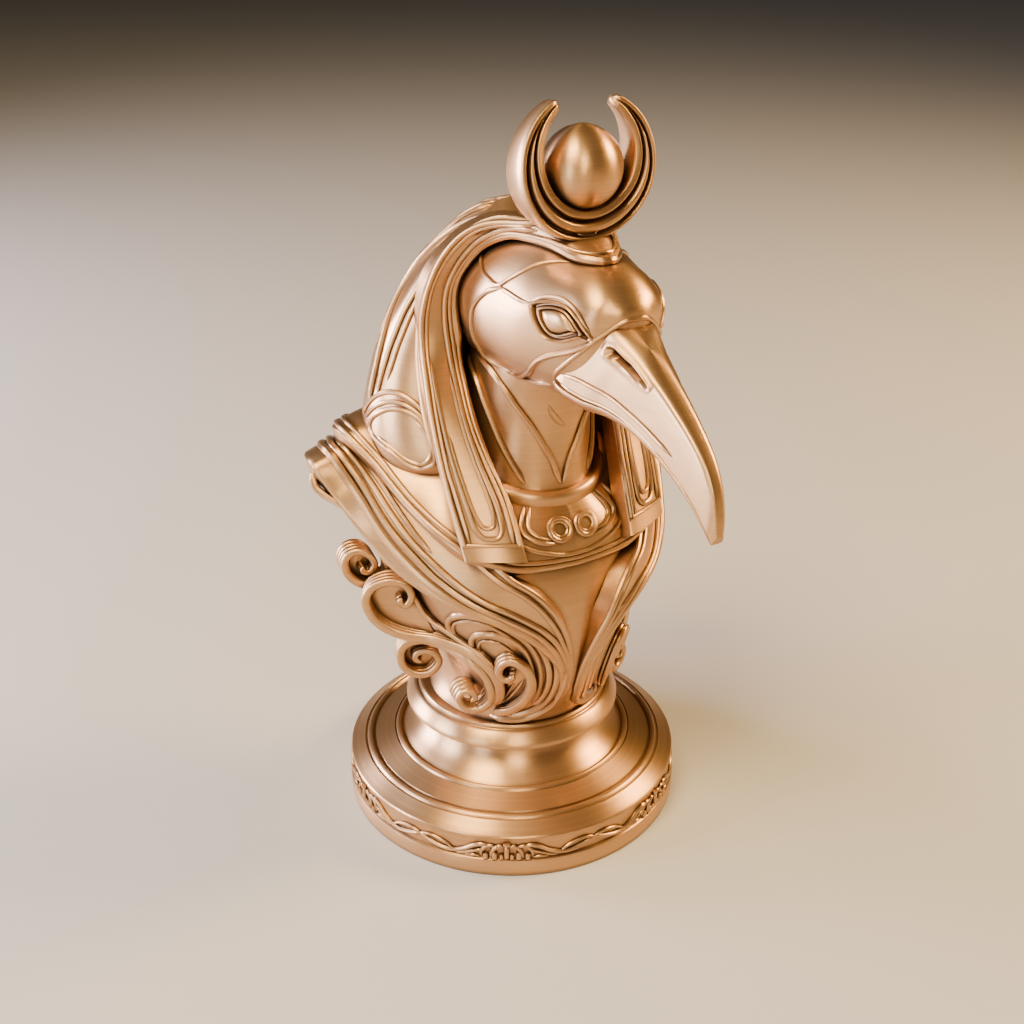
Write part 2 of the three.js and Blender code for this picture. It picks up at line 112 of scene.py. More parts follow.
def evened(path, times):  # a path smoothed between its ends
    for _ in range(times):
        path[1:-1] = path[1:-1] / 2 + (path[:-2] + path[2:]) / 4
    return path


def loopPath(points, spacing):  # runs on past its start and is cut where it comes round again
    path = smoothPath(np.concatenate([points[-2:], points, points[:3]]), spacing)
    half = len(path) // 2
    start = np.argmin(np.linalg.norm(path[:half] - points[0], axis=1))
    stop = half + np.argmin(np.linalg.norm(path[half:] - points[0], axis=1))
    return path[start: stop + 2]


flips = np.array([[1, 1, 1], [-1, 1, 1]])  # as drawn, and over to the other side


def mirrored(points):
    return [[-x, y, z] for x, y, z in points]


def onBothSides(lines):
    return lines + [{**line, "at": mirrored(line["at"])} for line in lines]


def acrossBack(line):  # one side's line carried on over the other side
    return {**line, "at": line["at"] + mirrored(line["at"][::-1][1:])}


def allRound(line):  # one side's line closed into a loop through the middle planes
    return {**acrossBack(line), "loop": True, "at": acrossBack(line)["at"][:-1]}


def tubeShell(grid, closedAlong=False):  # rings joined into a closed shell
    rings, count = grid.shape[:2]
    verts = grid.reshape(-1, 3)
    index = np.arange(rings * count).reshape(rings, count)
    index = np.concatenate([index, index[:, :1]], 1)
    if closedAlong:
        index = np.concatenate([index, index[:1]], 0)
    corners = [index[:-1, :-1], index[:-1, 1:], index[1:, 1:], index[1:, :-1]]
    faces = np.stack([c.ravel() for c in corners], 1).tolist()
    if not closedAlong:
        verts = np.concatenate([verts, grid[:1].mean(1), grid[-1:].mean(1)])
        first, last = rings * count, rings * count + 1
        for j in range(count):
            k = (j + 1) % count
            faces.append([k, j, first])
            faces.append([(rings - 1) * count + j, (rings - 1) * count + k, last])
    return verts, faces


def addObject(name, data):
    made = bpy.data.objects.new(name, data)
    bpy.context.collection.objects.link(made)
    return made


def makeMesh(name, shells, sharp=35):  # one object from several closed shells, faces outwards
    verts, faces, start = [], [], 0
    for points, quads in shells:
        points = np.asarray(points, float)
        corners = np.array([f[:3] for f in quads] + [[f[0], f[2], f[3]] for f in quads if len(f) == 4])
        a, b, c = points[corners[:, 0]], points[corners[:, 1]], points[corners[:, 2]]
        inside = np.einsum("ij,ij->i", a, np.cross(b, c)).sum() < 0
        quads = [f[::-1] for f in quads] if inside else quads
        verts.append(points * mm)
        faces += [[n + start for n in f] for f in quads]
        start += len(points)
    mesh = bpy.data.meshes.new(name)
    mesh.from_pydata(np.concatenate(verts).tolist(), [], faces)
    return smoothed(addObject(name, mesh), sharp)


def smoothed(piece, sharp=35):
    mesh = piece.data
    mesh.polygons.foreach_set("use_smooth", [True] * len(mesh.polygons))
    mesh.set_sharp_from_angle(angle=math.radians(sharp))
    return piece


# Level sections: height, half width, front, back, middle, forward tilt, squareness
def levelPoint(row, angle):
    z, half, front, back, middle, tilt, square = row
    x = half * power(np.cos(angle), 2 / square)
    q = power(np.sin(angle), 2 / square)
    y = np.where(q < 0, middle + (middle - front) * q, middle + (back - middle) * q)
    return np.stack([x, y, z + tilt * y], -1)


def levelGrid(form):
    row = blendRows(form["rows"], np.linspace(0, 1, form["steps"] + 1)).T[:, :, None]
    return levelPoint(row, roundTurn(form["sides"])[None, :])


def onLevels(form, at):  # places drawn as [share up the rows, degrees round from +X towards the back]
    at = np.array(at, float)
    return levelPoint(blendRows(form["rows"], at[:, 0]).T, np.radians(at[:, 1])).tolist()


# A cape layer from its hem to its inner edge: rows are hem, inner edge and thickness
def capeRows(cape, stations):
    rows = np.asarray(cape["rows"], float)
    rows = np.concatenate([rows, (rows * [-1, 1, 1, -1, 1, 1, 1])[::-1][1:]])
    nudge = 0.004  # share of the way round that gives the direction along the cape
    row = blendRows(rows, stations)
    before = blendRows(rows, (stations - nudge) % 1 if cape["loop"] else stations - nudge)
    after = blendRows(rows, (stations + nudge) % 1 if cape["loop"] else stations + nudge)
    hem, inner, thick = row[:, :3], row[:, 3:6], row[:, 6]
    along = after[:, :3] + after[:, 3:6] - before[:, :3] - before[:, 3:6]
    return hem, inner, unit(np.cross(inner - hem, along)), thick


def capeFace(cape, hem, inner, out, v):  # swells most at v = 0.5, halfway between hem and inner edge
    width = np.linalg.norm(inner - hem, axis=-1, keepdims=True)
    return hem * (1 - v) + inner * v + out * (cape["swell"] * width * 4 * v * (1 - v))


def onCape(cape, at):  # places of points drawn as [station on one side, share across]
    drawn = np.array(at, float)
    hem, inner, out, _ = capeRows(cape, drawn[:, 0] / 2)
    return capeFace(cape, hem, inner, out, drawn[:, 1:2]).tolist()


def capeShell(cape):
    half = np.linspace(0, 0.5, cape["stations"])
    stations = np.concatenate([half, 1 - half[::-1][1:]])
    stations = stations[:-1] if cape["loop"] else stations
    hem, inner, out, thick = capeRows(cape, stations)
    v = np.linspace(0, 1, cape["across"])[:, None]
    grid = capeFace(cape, hem[:, None], inner[:, None], out[:, None], v)
    over = unit(inner - hem)
    edge = cape["edge"]
    innerDeeper, middleDeeper = 1, 0.6  # how much thicker the layer is there than at its hem
    under = [  # the underside, from the inner edge back to the hem
        inner + over * edge - out * edge,
        inner - out * (thick + innerDeeper)[:, None],
        (hem + inner) / 2 - out * (thick + middleDeeper)[:, None],
        hem - out * thick[:, None],
        hem - over * edge - out * (thick - edge)[:, None],
        hem - over * edge - out * edge,
    ]
    return tubeShell(np.concatenate([grid, np.stack(under, 1)], 1), cape["loop"])


# Swept bars: the section's first axis is kept along a given direction, fixed or one for each point
def sweptBar(path, thickness, axis, section):
    path = np.asarray(path)
    tangent = unit(np.gradient(path, axis=0))
    axis = np.broadcast_to(np.asarray(axis, float), path.shape)
    side = unit(axis - tangent * np.einsum("ij,ij->i", tangent, axis)[:, None])
    other = np.cross(tangent, side)
    thickness = np.asarray(thickness, float)
    thickness = thickness if thickness.ndim == 2 else np.stack([thickness, thickness], 1)
    reach = np.asarray(section)[None, :, :] * thickness[:, None, :]
    return tubeShell(path[:, None] + side[:, None] * reach[:, :, :1] + other[:, None] * reach[:, :, 1:])


def roundSection(sides):
    angle = roundTurn(sides)
    return np.stack([np.cos(angle), np.sin(angle)], 1)


# Finish: silk metallic plastic with painted shade darkening its creases, its sizes in metres

finish = {
    "base": (0.60, 0.34, 0.155),
    "deep": (0.50, 0.275, 0.12),
    # painted shade: the colour that closed-in creases and hollows are darkened towards
    "paintedCreaseShade": (0.10, 0.05, 0.025),
    "shadeMaskReach": 0.0022,
    "shadeMaskStart": 0.35,  # share of open sky at which the painted crease shade is darkest
    "shadeMaskGain": 1.9,
    "shadeMaskSamples": 8,
    "metallic": 0.9,
    "roughness": 0.34,
    "anisotropic": 0.72,
    "anisotropicTurn": 0.25,  # a quarter turn, so reflections spread up and down across the layers
    "layer": 0.00022,
    "layerWave": 0.5,
    "layerUneven": 0.8,  # how much the layers differ from each other in height
    "layerTone": 0.45,  # and in colour
    "driftTone": 0.55,  # a slow change of colour over several layers
    "driftScale": 0.35,
    "driftDetail": 3.0,
    "layerDepth": 0.00006,
    "layerBump": 0.16,
}


def newGroup(name, inputs, outputs):
    group = bpy.data.node_groups.new(name, "ShaderNodeTree")
    for label, kind in inputs:
        group.interface.new_socket(label, in_out="INPUT", socket_type=kind)
    for label, kind in outputs:
        group.interface.new_socket(label, in_out="OUTPUT", socket_type=kind)
    return group, group.nodes.new("NodeGroupInput"), group.nodes.new("NodeGroupOutput")


def addNode(tree, kind, inputs=None, **settings):  # a node with its sockets linked or set
    node = tree.nodes.new(kind)
    for name, value in settings.items():
        setattr(node, name, value)
    for label, value in (inputs or {}).items():
        if isinstance(value, bpy.types.NodeSocket):
            tree.links.new(value, node.inputs[label])
        else:
            node.inputs[label].default_value = value
    return node


def mathNode(tree, operation, a, b=0.0):
    return addNode(tree, "ShaderNodeMath", {0: a, 1: b}, operation=operation).outputs[0]


# Level layer lines: a fine wave up the height, uneven from layer to layer
def layerLinesGroup():
    group, given, put = newGroup(
        "layerLines",
        [("Position", "NodeSocketVector"), ("Layer", "NodeSocketFloat")],
        [("Height", "NodeSocketFloat"), ("Tone", "NodeSocketFloat")],
    )
    split = addNode(group, "ShaderNodeSeparateXYZ", {0: given.outputs["Position"]})
    turns = mathNode(group, "DIVIDE", split.outputs["Z"], given.outputs["Layer"])
    wave = mathNode(group, "SINE", mathNode(group, "MULTIPLY", turns, 2 * math.pi))
    number = mathNode(group, "FLOOR", turns)
    layer = addNode(group, "ShaderNodeTexWhiteNoise", {"W": number}, noise_dimensions="1D")
    drift = addNode(group, "ShaderNodeTexNoise", {
        "W": turns, "Scale": finish["driftScale"], "Detail": finish["driftDetail"]}, noise_dimensions="1D")
    uneven = mathNode(group, "MULTIPLY", layer.outputs["Value"], finish["layerUneven"])
    height = mathNode(group, "ADD", mathNode(group, "MULTIPLY", wave, finish["layerWave"]), uneven)
    group.links.new(height, put.inputs["Height"])
    slow = mathNode(group, "MULTIPLY", drift.outputs["Fac"], finish["driftTone"])
    quick = mathNode(group, "MULTIPLY", layer.outputs["Value"], finish["layerTone"])
    group.links.new(mathNode(group, "ADD", quick, slow), put.inputs["Tone"])
    return group


# Painted crease shade: how closed in a place is by what stands round it, 1 in the open and 0 in a deep
# crease, used to darken the colour where shade falls
def creaseShadeMaskGroup():
    group, given, put = newGroup("creaseShadeMask", [("Reach", "NodeSocketFloat")], [("Open", "NodeSocketFloat")])
    reach = {"Distance": given.outputs["Reach"]}
    sky = addNode(group, "ShaderNodeAmbientOcclusion", reach, samples=finish["shadeMaskSamples"])
    above = mathNode(group, "SUBTRACT", sky.outputs["AO"], finish["shadeMaskStart"])
    spread = mathNode(group, "MULTIPLY", above, finish["shadeMaskGain"])
    least = mathNode(group, "MAXIMUM", spread, 0.0)
    group.links.new(mathNode(group, "MINIMUM", least, 1.0), put.inputs["Open"])
    return group


def mixColours(tree, share, low, high):  # sockets 0, 6 and 7 take the share and the two colours
    return addNode(tree, "ShaderNodeMix", {0: share, 6: low, 7: high}, data_type="RGBA").outputs[2]


def silkCopperMaterial():
    material = bpy.data.materials.new("silkCopper")
    material.use_nodes = True
    tree = material.node_tree
    shader = tree.nodes["Principled BSDF"]
    place = tree.nodes.new("ShaderNodeTexCoord").outputs["Object"]
    layers = addNode(tree, "ShaderNodeGroup", {
        "Position": place, "Layer": finish["layer"]}, node_tree=layerLinesGroup())
    creaseShadeMask = addNode(tree, "ShaderNodeGroup", {"Reach": finish["shadeMaskReach"]}, node_tree=creaseShadeMaskGroup())
    tone = mixColours(tree, layers.outputs["Tone"], (*finish["deep"], 1), (*finish["base"], 1))
    # painted shade: the layer tone is darkened towards the crease shade colour where the surface is closed
    # in
    colour = mixColours(tree, creaseShadeMask.outputs["Open"], (*finish["paintedCreaseShade"], 1), tone)
    tree.links.new(colour, shader.inputs["Base Color"])
    bump = addNode(tree, "ShaderNodeBump", {
        "Strength": finish["layerBump"], "Distance": finish["layerDepth"],
        "Height": layers.outputs["Height"]})
    tree.links.new(bump.outputs["Normal"], shader.inputs["Normal"])
    tangent = addNode(tree, "ShaderNodeTangent", direction_type="RADIAL", axis="Z")
    tree.links.new(tangent.outputs["Tangent"], shader.inputs["Tangent"])
    shader.inputs["Metallic"].default_value = finish["metallic"]
    shader.inputs["Roughness"].default_value = finish["roughness"]
    shader.inputs["Anisotropic"].default_value = finish["anisotropic"]
    shader.inputs["Anisotropic Rotation"].default_value = finish["anisotropicTurn"]
    return material


silkCopper = silkCopperMaterial()


def keep(piece):  # dressed in the finish and noted as a finished piece
    piece.data.materials.clear()
    piece.data.materials.append(silkCopper)
    finishedPieces.append(piece)
    return piece


# Geometry Nodes: ribs that follow a surface, and copies turned round the upright axis

def newTree(name, inputs):
    tree = bpy.data.node_groups.new(name, "GeometryNodeTree")
    for label, kind in [("Geometry", "NodeSocketGeometry"), *inputs]:
        tree.interface.new_socket(label, in_out="INPUT", socket_type=kind)
    tree.interface.new_socket("Geometry", in_out="OUTPUT", socket_type="NodeSocketGeometry")
    return tree, tree.nodes.new("NodeGroupInput").outputs, tree.nodes.new("NodeGroupOutput")


def finishTree(tree, put, geometry, material):
    solid = addNode(tree, "GeometryNodeRealizeInstances", {"Geometry": geometry})
    dressed = addNode(tree, "GeometryNodeSetMaterial", {"Geometry": solid.outputs[0], "Material": material})
    tree.links.new(dressed.outputs[0], put.inputs["Geometry"])
    return tree


def bakeModifiers(piece):
    bpy.context.view_layer.update()
    shape = bpy.data.meshes.new_from_object(piece.evaluated_get(bpy.context.evaluated_depsgraph_get()))
    piece.modifiers.clear()
    piece.data = shape
    return piece


def runTree(piece, tree, settings):
    step = piece.modifiers.new("nodes", "NODES")
    step.node_group = tree
    for item in tree.interface.items_tree:
        if item.in_out == "INPUT" and item.name in settings:
            step[item.identifier] = settings[item.name]
    return smoothed(bakeModifiers(piece))


def ribTree():  # lines with a reach and a lift, laid on the carrier and swept to round ribs
    tree, given, put = newTree("ribsOnSurface", [
        ("Carrier", "NodeSocketObject"), ("Sides", "NodeSocketInt"), ("Material", "NodeSocketMaterial")])
    carrier = addNode(tree, "GeometryNodeObjectInfo", {"Object": given["Carrier"]}).outputs["Geometry"]
    curve = addNode(tree, "GeometryNodeMeshToCurve", {"Mesh": given["Geometry"]}).outputs["Curve"]
    nearest = addNode(tree, "GeometryNodeProximity", {0: carrier}, target_element="FACES")
    normal = tree.nodes.new("GeometryNodeInputNormal").outputs[0]
    facing = addNode(tree, "GeometryNodeSampleNearestSurface", {"Mesh": carrier}, data_type="FLOAT_VECTOR")
    tree.links.new(normal, facing.inputs["Value"])
    lift = addNode(tree, "GeometryNodeInputNamedAttribute", {"Name": "lift"}, data_type="FLOAT").outputs[0]
    raised = addNode(tree, "ShaderNodeVectorMath", {0: facing.outputs[0]}, operation="SCALE")
    tree.links.new(lift, raised.inputs["Scale"])
    place = addNode(tree, "ShaderNodeVectorMath", {
        0: nearest.outputs["Position"], 1: raised.outputs[0]}, operation="ADD").outputs[0]
    laid = addNode(tree, "GeometryNodeSetPosition", {"Geometry": curve, "Position": place}).outputs[0]
    reach = addNode(tree, "GeometryNodeInputNamedAttribute", {"Name": "reach"}, data_type="FLOAT").outputs[0]
    circle = addNode(tree, "GeometryNodeCurvePrimitiveCircle", {
        "Resolution": given["Sides"], "Radius": 1.0}).outputs[0]
    swept = addNode(tree, "GeometryNodeCurveToMesh", {
        "Curve": laid, "Profile Curve": circle, "Scale": reach, "Fill Caps": True})
    return finishTree(tree, put, swept.outputs[0], given["Material"])


def copiesTree():
    tree, given, put = newTree("turnedCopies", [
        ("Count", "NodeSocketInt"), ("Start", "NodeSocketFloat"), ("Material", "NodeSocketMaterial")])
    points = addNode(tree, "GeometryNodePoints", {"Count": given["Count"]}).outputs[0]
    index = tree.nodes.new("GeometryNodeInputIndex").outputs[0]
    share = mathNode(tree, "DIVIDE", index, given["Count"])
    turn = mathNode(tree, "ADD", mathNode(tree, "MULTIPLY", share, 2 * math.pi), given["Start"])
    rotation = addNode(tree, "ShaderNodeCombineXYZ", {"Z": turn}).outputs[0]
    copies = addNode(tree, "GeometryNodeInstanceOnPoints", {
        "Points": points, "Instance": given["Geometry"], "Rotation": rotation})
    return finishTree(tree, put, copies.outputs[0], given["Material"])


ribsOnSurface = ribTree()
turnedCopies = copiesTree()


# Ribs: each line has its points, its width, how high its middle lies over the carrier
# and the length over which its ends taper; what a line doesn't say is as here
ribStyle = {"wide": 1, "lift": 0.1, "taper": 3, "loop": False, "spacing": 0.3, "tip": 0.02}


def ribs(name, lines, carriers, sides=10):
    verts, edges, reach, lift = [], [], [], []
    for line in [{**ribStyle, **line} for line in lines]:
        points, spacing = np.array(line["at"], float), line["spacing"]
        path = loopPath(points, spacing) if line["loop"] else smoothPath(points, spacing)
        share = np.ones(len(path))
        if line["taper"] and not line["loop"]:
            share = taperedEnds(path, spacing, line["taper"], line["tip"])
        first = len(verts)
        verts += (path * mm).tolist()
        edges += [[first + n, first + n + 1] for n in range(len(path) - 1)]
        reach += (line["wide"] / 2 * share * mm).tolist()
        lift += (line["lift"] * share * mm).tolist()
    mesh = bpy.data.meshes.new(name)
    mesh.from_pydata(verts, edges, [])
    mesh.attributes.new("reach", "FLOAT", "POINT").data.foreach_set("value", reach)
    mesh.attributes.new("lift", "FLOAT", "POINT").data.foreach_set("value", lift)
    piece = addObject(name, mesh)
    carrier = joinedCopy(carriers)
    runTree(piece, ribsOnSurface, {"Carrier": carrier, "Sides": sides, "Material": silkCopper})
    bpy.data.objects.remove(carrier)
    return keep(piece)


def joinedCopy(pieces):  # one passing object that holds all the pieces' faces
    verts, faces, start = [], [], 0
    for piece in pieces:
        mesh = piece.data
        points = np.empty(len(mesh.vertices) * 3)
        mesh.vertices.foreach_get("co", points)
        verts.append(points.reshape(-1, 3))
        faces += [[n + start for n in face.vertices] for face in mesh.polygons]
        start += len(mesh.vertices)
    mesh = bpy.data.meshes.new("carrier")
    mesh.from_pydata(np.concatenate(verts).tolist(), [], faces)
    mesh.polygons.foreach_set("use_smooth", [True] * len(mesh.polygons))
    return addObject("carrier", mesh)


# Points moved straight away from a middle to the outside of the pieces, at most the reach away
def outermost(points, pieces, middle, reach=8):
    carrier = joinedCopy(pieces)
    mesh = carrier.data
    faces = [tuple(face.vertices) for face in mesh.polygons]
    skin = BVHTree.FromPolygons([vert.co / mm for vert in mesh.vertices], faces)
    bpy.data.objects.remove(carrier)
    laid = []
    for point in points:
        out = (Vector(point) - Vector(middle)).normalized()
        hit = skin.ray_cast(Vector(point) + out * reach, -out)[0]
        laid.append(hit if hit else point)
    return np.array(laid)


# Plinth: a turned profile, as radius and height

plinth = {
    "foot": [[43.6, 0], [43.9, 0.25], [44, 0.6], [44, 4.3], [43.85, 4.7], [43.4, 4.95], [43.1, 5.1]],
    "brim": [[43.1, 10.6], [43.15, 11], [43.4, 11.2], [43.55, 11.5], [43.3, 11.9], [42.6, 12.25]],
    "groove": [[39.75, 13.95], [39.5, 13.75], [39.2, 13.8], [38.95, 14.25], [38.5, 14.55], [38, 14.6],
               [37.6, 14.3], [37.3, 13.95], [37.05, 14], [36.8, 14.5]],
    "bead": [[31.7, 16.35], [31.5, 16.1], [31.3, 16.35], [31.1, 16.8], [30.6, 17.05], [30.1, 16.95],
             [29.8, 16.6], [29.6, 16.4], [29.3, 16.55]],
    "waist": [[28.3, 17.4], [26.4, 18.9], [24.9, 20.6], [23.9, 22.4], [23.4, 24], [23.5, 25.1],
              [24.2, 25.9], [25.6, 26.15]],
    "ring": [[27.3, 26.1], [27.75, 26.2], [28, 26.5], [28, 27.2], [27.8, 27.7], [27, 28.9], [26.1, 30.1],
             [25.7, 30.4], [25.3, 30.45]],
    "rim": [[25.05, 30.3], [24.85, 30.45], [24.75, 31], [24.4, 31.4], [23.9, 31.55], [23.5, 31.4],
            [23.2, 31.3]],
    "waistSteps": 17,
    "coneSteps": 7,
    "turnSteps": 256,
    "sharp": 30,
}


def turnedProfile():  # the waist is a curve, and the cones before groove and bead are divided
    run = []
    for name in ("foot", "brim", "groove", "bead", "waist", "ring", "rim"):
        rows = plinth[name]
        if name == "waist":
            rows = blendRows(rows, np.linspace(0, 1, plinth["waistSteps"] + 1)).tolist()
        if name in ("groove", "bead"):
            reach = np.linspace(0, 1, plinth["coneSteps"] + 1)[1:-1, None]
            run += (np.array(run[-1]) * (1 - reach) + np.array(rows[0]) * reach).tolist()
        run += rows
    return np.array(run)


def makePlinth():
    profile = turnedProfile()
    angle = roundTurn(plinth["turnSteps"])
    radius, height = profile[:, :1], profile[:, 1:]
    grid = np.stack([radius * np.cos(angle), radius * np.sin(angle), height + 0 * angle], -1)
    return keep(makeMesh("plinth", [tubeShell(grid)], plinth["sharp"]))


# Frieze motif on the plinth's wall: pegs under arches, a knobbed middle peg and a vine,
# as side and height in millimetres
frieze = {
    "wall": 43.1, "copies": 6,
    # side, foot, top and radius
    "pegs": [[0, 5, 9.2, 0.7], [0, 9.2, 10.1, 0.95], [1.3, 5, 6.6, 0.6], [3, 5, 7.2, 0.8],
             [5.2, 5, 6.8, 0.75]],
    "arches": [
        {"at": [[0.6, 8.6], [1.3, 9], [2.4, 8.7], [3.4, 7.6], [3.9, 6.2], [3.9, 5.2]], "wide": 1.1},
        {"at": [[2.4, 8.4], [3.6, 9], [4.9, 8.8], [6, 7.8], [6.4, 6.6], [6.1, 5.6]], "wide": 1},
        {"at": [[4.2, 9], [6.4, 9.2], [8.2, 8.6], [10.4, 7.2], [13, 6.2], [16, 6], [19.4, 6.8],
                [22.6, 8]], "wide": 1.15},
        {"at": [[6, 7.6], [7.4, 7.2], [9, 6.6], [10.8, 5.9], [12.6, 5.4]], "wide": 0.9},
        {"at": [[6.6, 5.4], [8.4, 5.6], [10.4, 5.3]], "wide": 0.9},
        {"at": [[13.4, 6.2], [15, 7.4], [17, 8.2], [19.6, 8.6], [22.6, 8]], "wide": 0.8},
    ],
    "pegSteps": 9, "pegSides": 12, "pegOut": 0.3, "pegSquareness": 8,
    "archSpacing": 0.35, "archSides": 10, "archOut": 0.25,
    "archTaper": {"over": 1.6, "least": 0.1, "start": 0.15, "bluntness": 0.5},
}


def onWall(side, height, out):
    angle = np.asarray(side, float) / frieze["wall"] - math.pi / 2
    reach = frieze["wall"] + out
    height = np.asarray(height, float) + 0 * angle
    return np.stack([reach * np.cos(angle), reach * np.sin(angle), height], -1)


def makeFrieze():
    shells = []
    for side in (1, -1):
        for place, low, high, radius in frieze["pegs"]:
            if side < 0 and place == 0:  # the middle peg stands once
                continue
            steps = np.linspace(0, 1, frieze["pegSteps"])
            fromMiddle = np.abs(2 * steps - 1)
            thickness = radius * roundEnd(fromMiddle, least=0.05, exponent=frieze["pegSquareness"])
            path = onWall(side * place + 0 * steps, low + (high - low) * steps, frieze["pegOut"])
            shells.append(sweptBar(path, thickness, (1, 0, 0), roundSection(frieze["pegSides"])))
        for line in frieze["arches"]:
            path = smoothPath([[side * s, z, 0] for s, z in line["at"]], frieze["archSpacing"])
            closing = taperedEnds(path, frieze["archSpacing"], **frieze["archTaper"])
            path = onWall(path[:, 0], path[:, 1], frieze["archOut"])
            section = roundSection(frieze["archSides"])
            shells.append(sweptBar(path, line["wide"] / 2 * closing, (0, -1, 0), section))
    motif = makeMesh("frieze", shells)
    runTree(motif, turnedCopies, {
        "Count": frieze["copies"], "Start": math.pi / frieze["copies"], "Material": silkCopper})
    return keep(motif)


makePlinth()
makeFrieze()
print("stage: plinth and frieze")


# Torso under the cape, as level sections

torso = {
    "rows": [
        [31, 22, -23.5, 22, 0, 0, 2], [36, 20.2, -25.5, 19.5, -1, 0, 2], [42, 20.6, -29, 18.5, -2, 0, 2],
        [49, 22.4, -31.6, 19, -3, 0, 2], [57, 26, -32.8, 20.5, -3, 0, 2],
        [65, 29.6, -33.2, 22, -3, 0, 2.05], [73, 32.2, -32.5, 24, -2, 0.02, 2.05],
        [80, 34.2, -31, 26, -1, 0.06, 2.05], [87, 35, -28.6, 27.5, 0, 0.14, 2.05],
        [92, 34.4, -26, 26.8, 1, 0.22, 2.05], [96.4, 32, -22.5, 25.2, 2, 0.28, 2.1],
        [99.4, 28, -19, 22.5, 2, 0.32, 2.1], [101, 22, -15, 18, 2, 0.36, 2.1],
        [101.8, 12, -10, 11, 2, 0.36, 2],
    ],
    "steps": 110, "sides": 150,
}
torsoPiece = keep(makeMesh("torso", [tubeShell(levelGrid(torso))]))

# Leaf lobes raised on the flanks, from the cape's hem to the plinth
torsoLines = [
    {"wide": 1.8, "at": [[-19.4, -21, 53.2], [-22.6, -17.9, 56.6], [-25, -15.9, 59.6], [-26, -16.3, 62.6],
                         [-25.9, -18.4, 65.3], [-24.3, -21.2, 66.8], [-21.6, -24.5, 67],
                         [-18.2, -27.3, 65.8], [-14.3, -29.4, 63.1], [-11.5, -30.3, 59.7],
                         [-9.5, -30.4, 55], [-8.4, -29.8, 50.1], [-8, -28.1, 44.6], [-8.1, -25.7, 40]]},
    {"wide": 1, "at": [[-19.1, -21.2, 53.4], [-22, -18.3, 56.2], [-23.7, -16.5, 58.2], [-24.9, -17, 61.3],
                       [-24.9, -19.1, 63.9], [-22.4, -23.3, 65.6], [-19.2, -26.2, 64.5],
                       [-15.7, -28.2, 61.9], [-12.6, -29.3, 58.1], [-10.6, -29.4, 53.4]]},
    {"wide": 1.7, "at": [[-15.9, -23.4, 49.4], [-18.2, -21.4, 51.5], [-20.2, -20.2, 54.6],
                         [-21.5, -20, 57.4], [-21.8, -21.5, 60.4], [-20.5, -24.1, 62.1],
                         [-17.9, -26.7, 62.4], [-15.2, -28.4, 61.1], [-12.6, -29.3, 58.1],
                         [-10.9, -29.4, 54.2], [-9.6, -28.9, 49.2], [-8.6, -27.8, 44.6]]},
    {"wide": 0.9, "at": [[-16.2, -23.4, 50.3], [-18.2, -22, 52.6], [-19.8, -21.2, 55.1],
                         [-20.6, -21.6, 57.6], [-20.1, -23.3, 59.7], [-17.8, -25.9, 59.8],
                         [-15.3, -27.4, 57.8], [-13.2, -28, 54.8]]},
    {"wide": 2, "at": [[-21.7, -24.6, 68.2], [-18.2, -27.4, 67.2], [-14.4, -29.6, 64.9],
                       [-11.1, -30.8, 61.6], [-8.2, -31.2, 56.8], [-6.6, -30.9, 51.6], [-6.2, -29.6, 46.4],
                       [-6.7, -27.6, 42.1], [-7.9, -24.8, 38.2]]},
    {"wide": 2.2, "at": [[-19.4, -26.6, 69.5], [-14.5, -29.6, 67], [-10.4, -31.3, 63.4],
                         [-6.9, -31.9, 58.2], [-5, -31.7, 52.9], [-4.5, -30.4, 47.1], [-4.9, -28.2, 41.9],
                         [-6.3, -25.1, 37.5], [-9.6, -22.1, 34.7], [-13.5, -19.8, 33.8]]},
    {"wide": 2.3, "lift": 0.3, "at": [[-14.7, -30, 68.3], [-9.8, -32, 65], [-6.1, -32.7, 59.8],
                                      [-3.5, -32.6, 54], [-2.5, -31.7, 48.6], [-2.6, -29.7, 43.2],
                                      [-3.8, -26.3, 37.4], [-7.5, -23.4, 34], [-11.4, -21.4, 32.9],
                                      [-16.2, -17.5, 32.9]]},
    {"wide": 1.1, "at": [[-13.9, -19.6, 36.3], [-12.9, -23.6, 41.7], [-12.1, -26.5, 46.1],
                         [-11.7, -27.8, 48.5]]},
    {"wide": 1.1, "at": [[-12.9, -20.4, 35.8], [-11.5, -24.3, 40.6], [-10.7, -27.3, 45.4],
                         [-10.7, -28.4, 48.2]]},
    {"wide": 0.9, "at": [[-13.9, -21, 39], [-13.6, -23.7, 43.5], [-13.3, -25.7, 46.7]]},
    # plain leaf on the back
    {"wide": 1.6, "at": onLevels(torso, [
        [0.04, 90], [0.1, 74], [0.2, 58], [0.32, 50], [0.44, 52], [0.54, 62], [0.62, 76], [0.68, 90]])},
    {"wide": 1.2, "at": onLevels(torso, [
        [0.09, 90], [0.15, 77], [0.23, 66], [0.32, 61], [0.42, 63], [0.5, 72], [0.56, 82], [0.6, 90]])},
]
ribs("torso_lobes", onBothSides(torsoLines), [torsoPiece])
print("stage: torso")


# Shoulder cape: rows run from the bottom of the front opening round the shoulder to the back

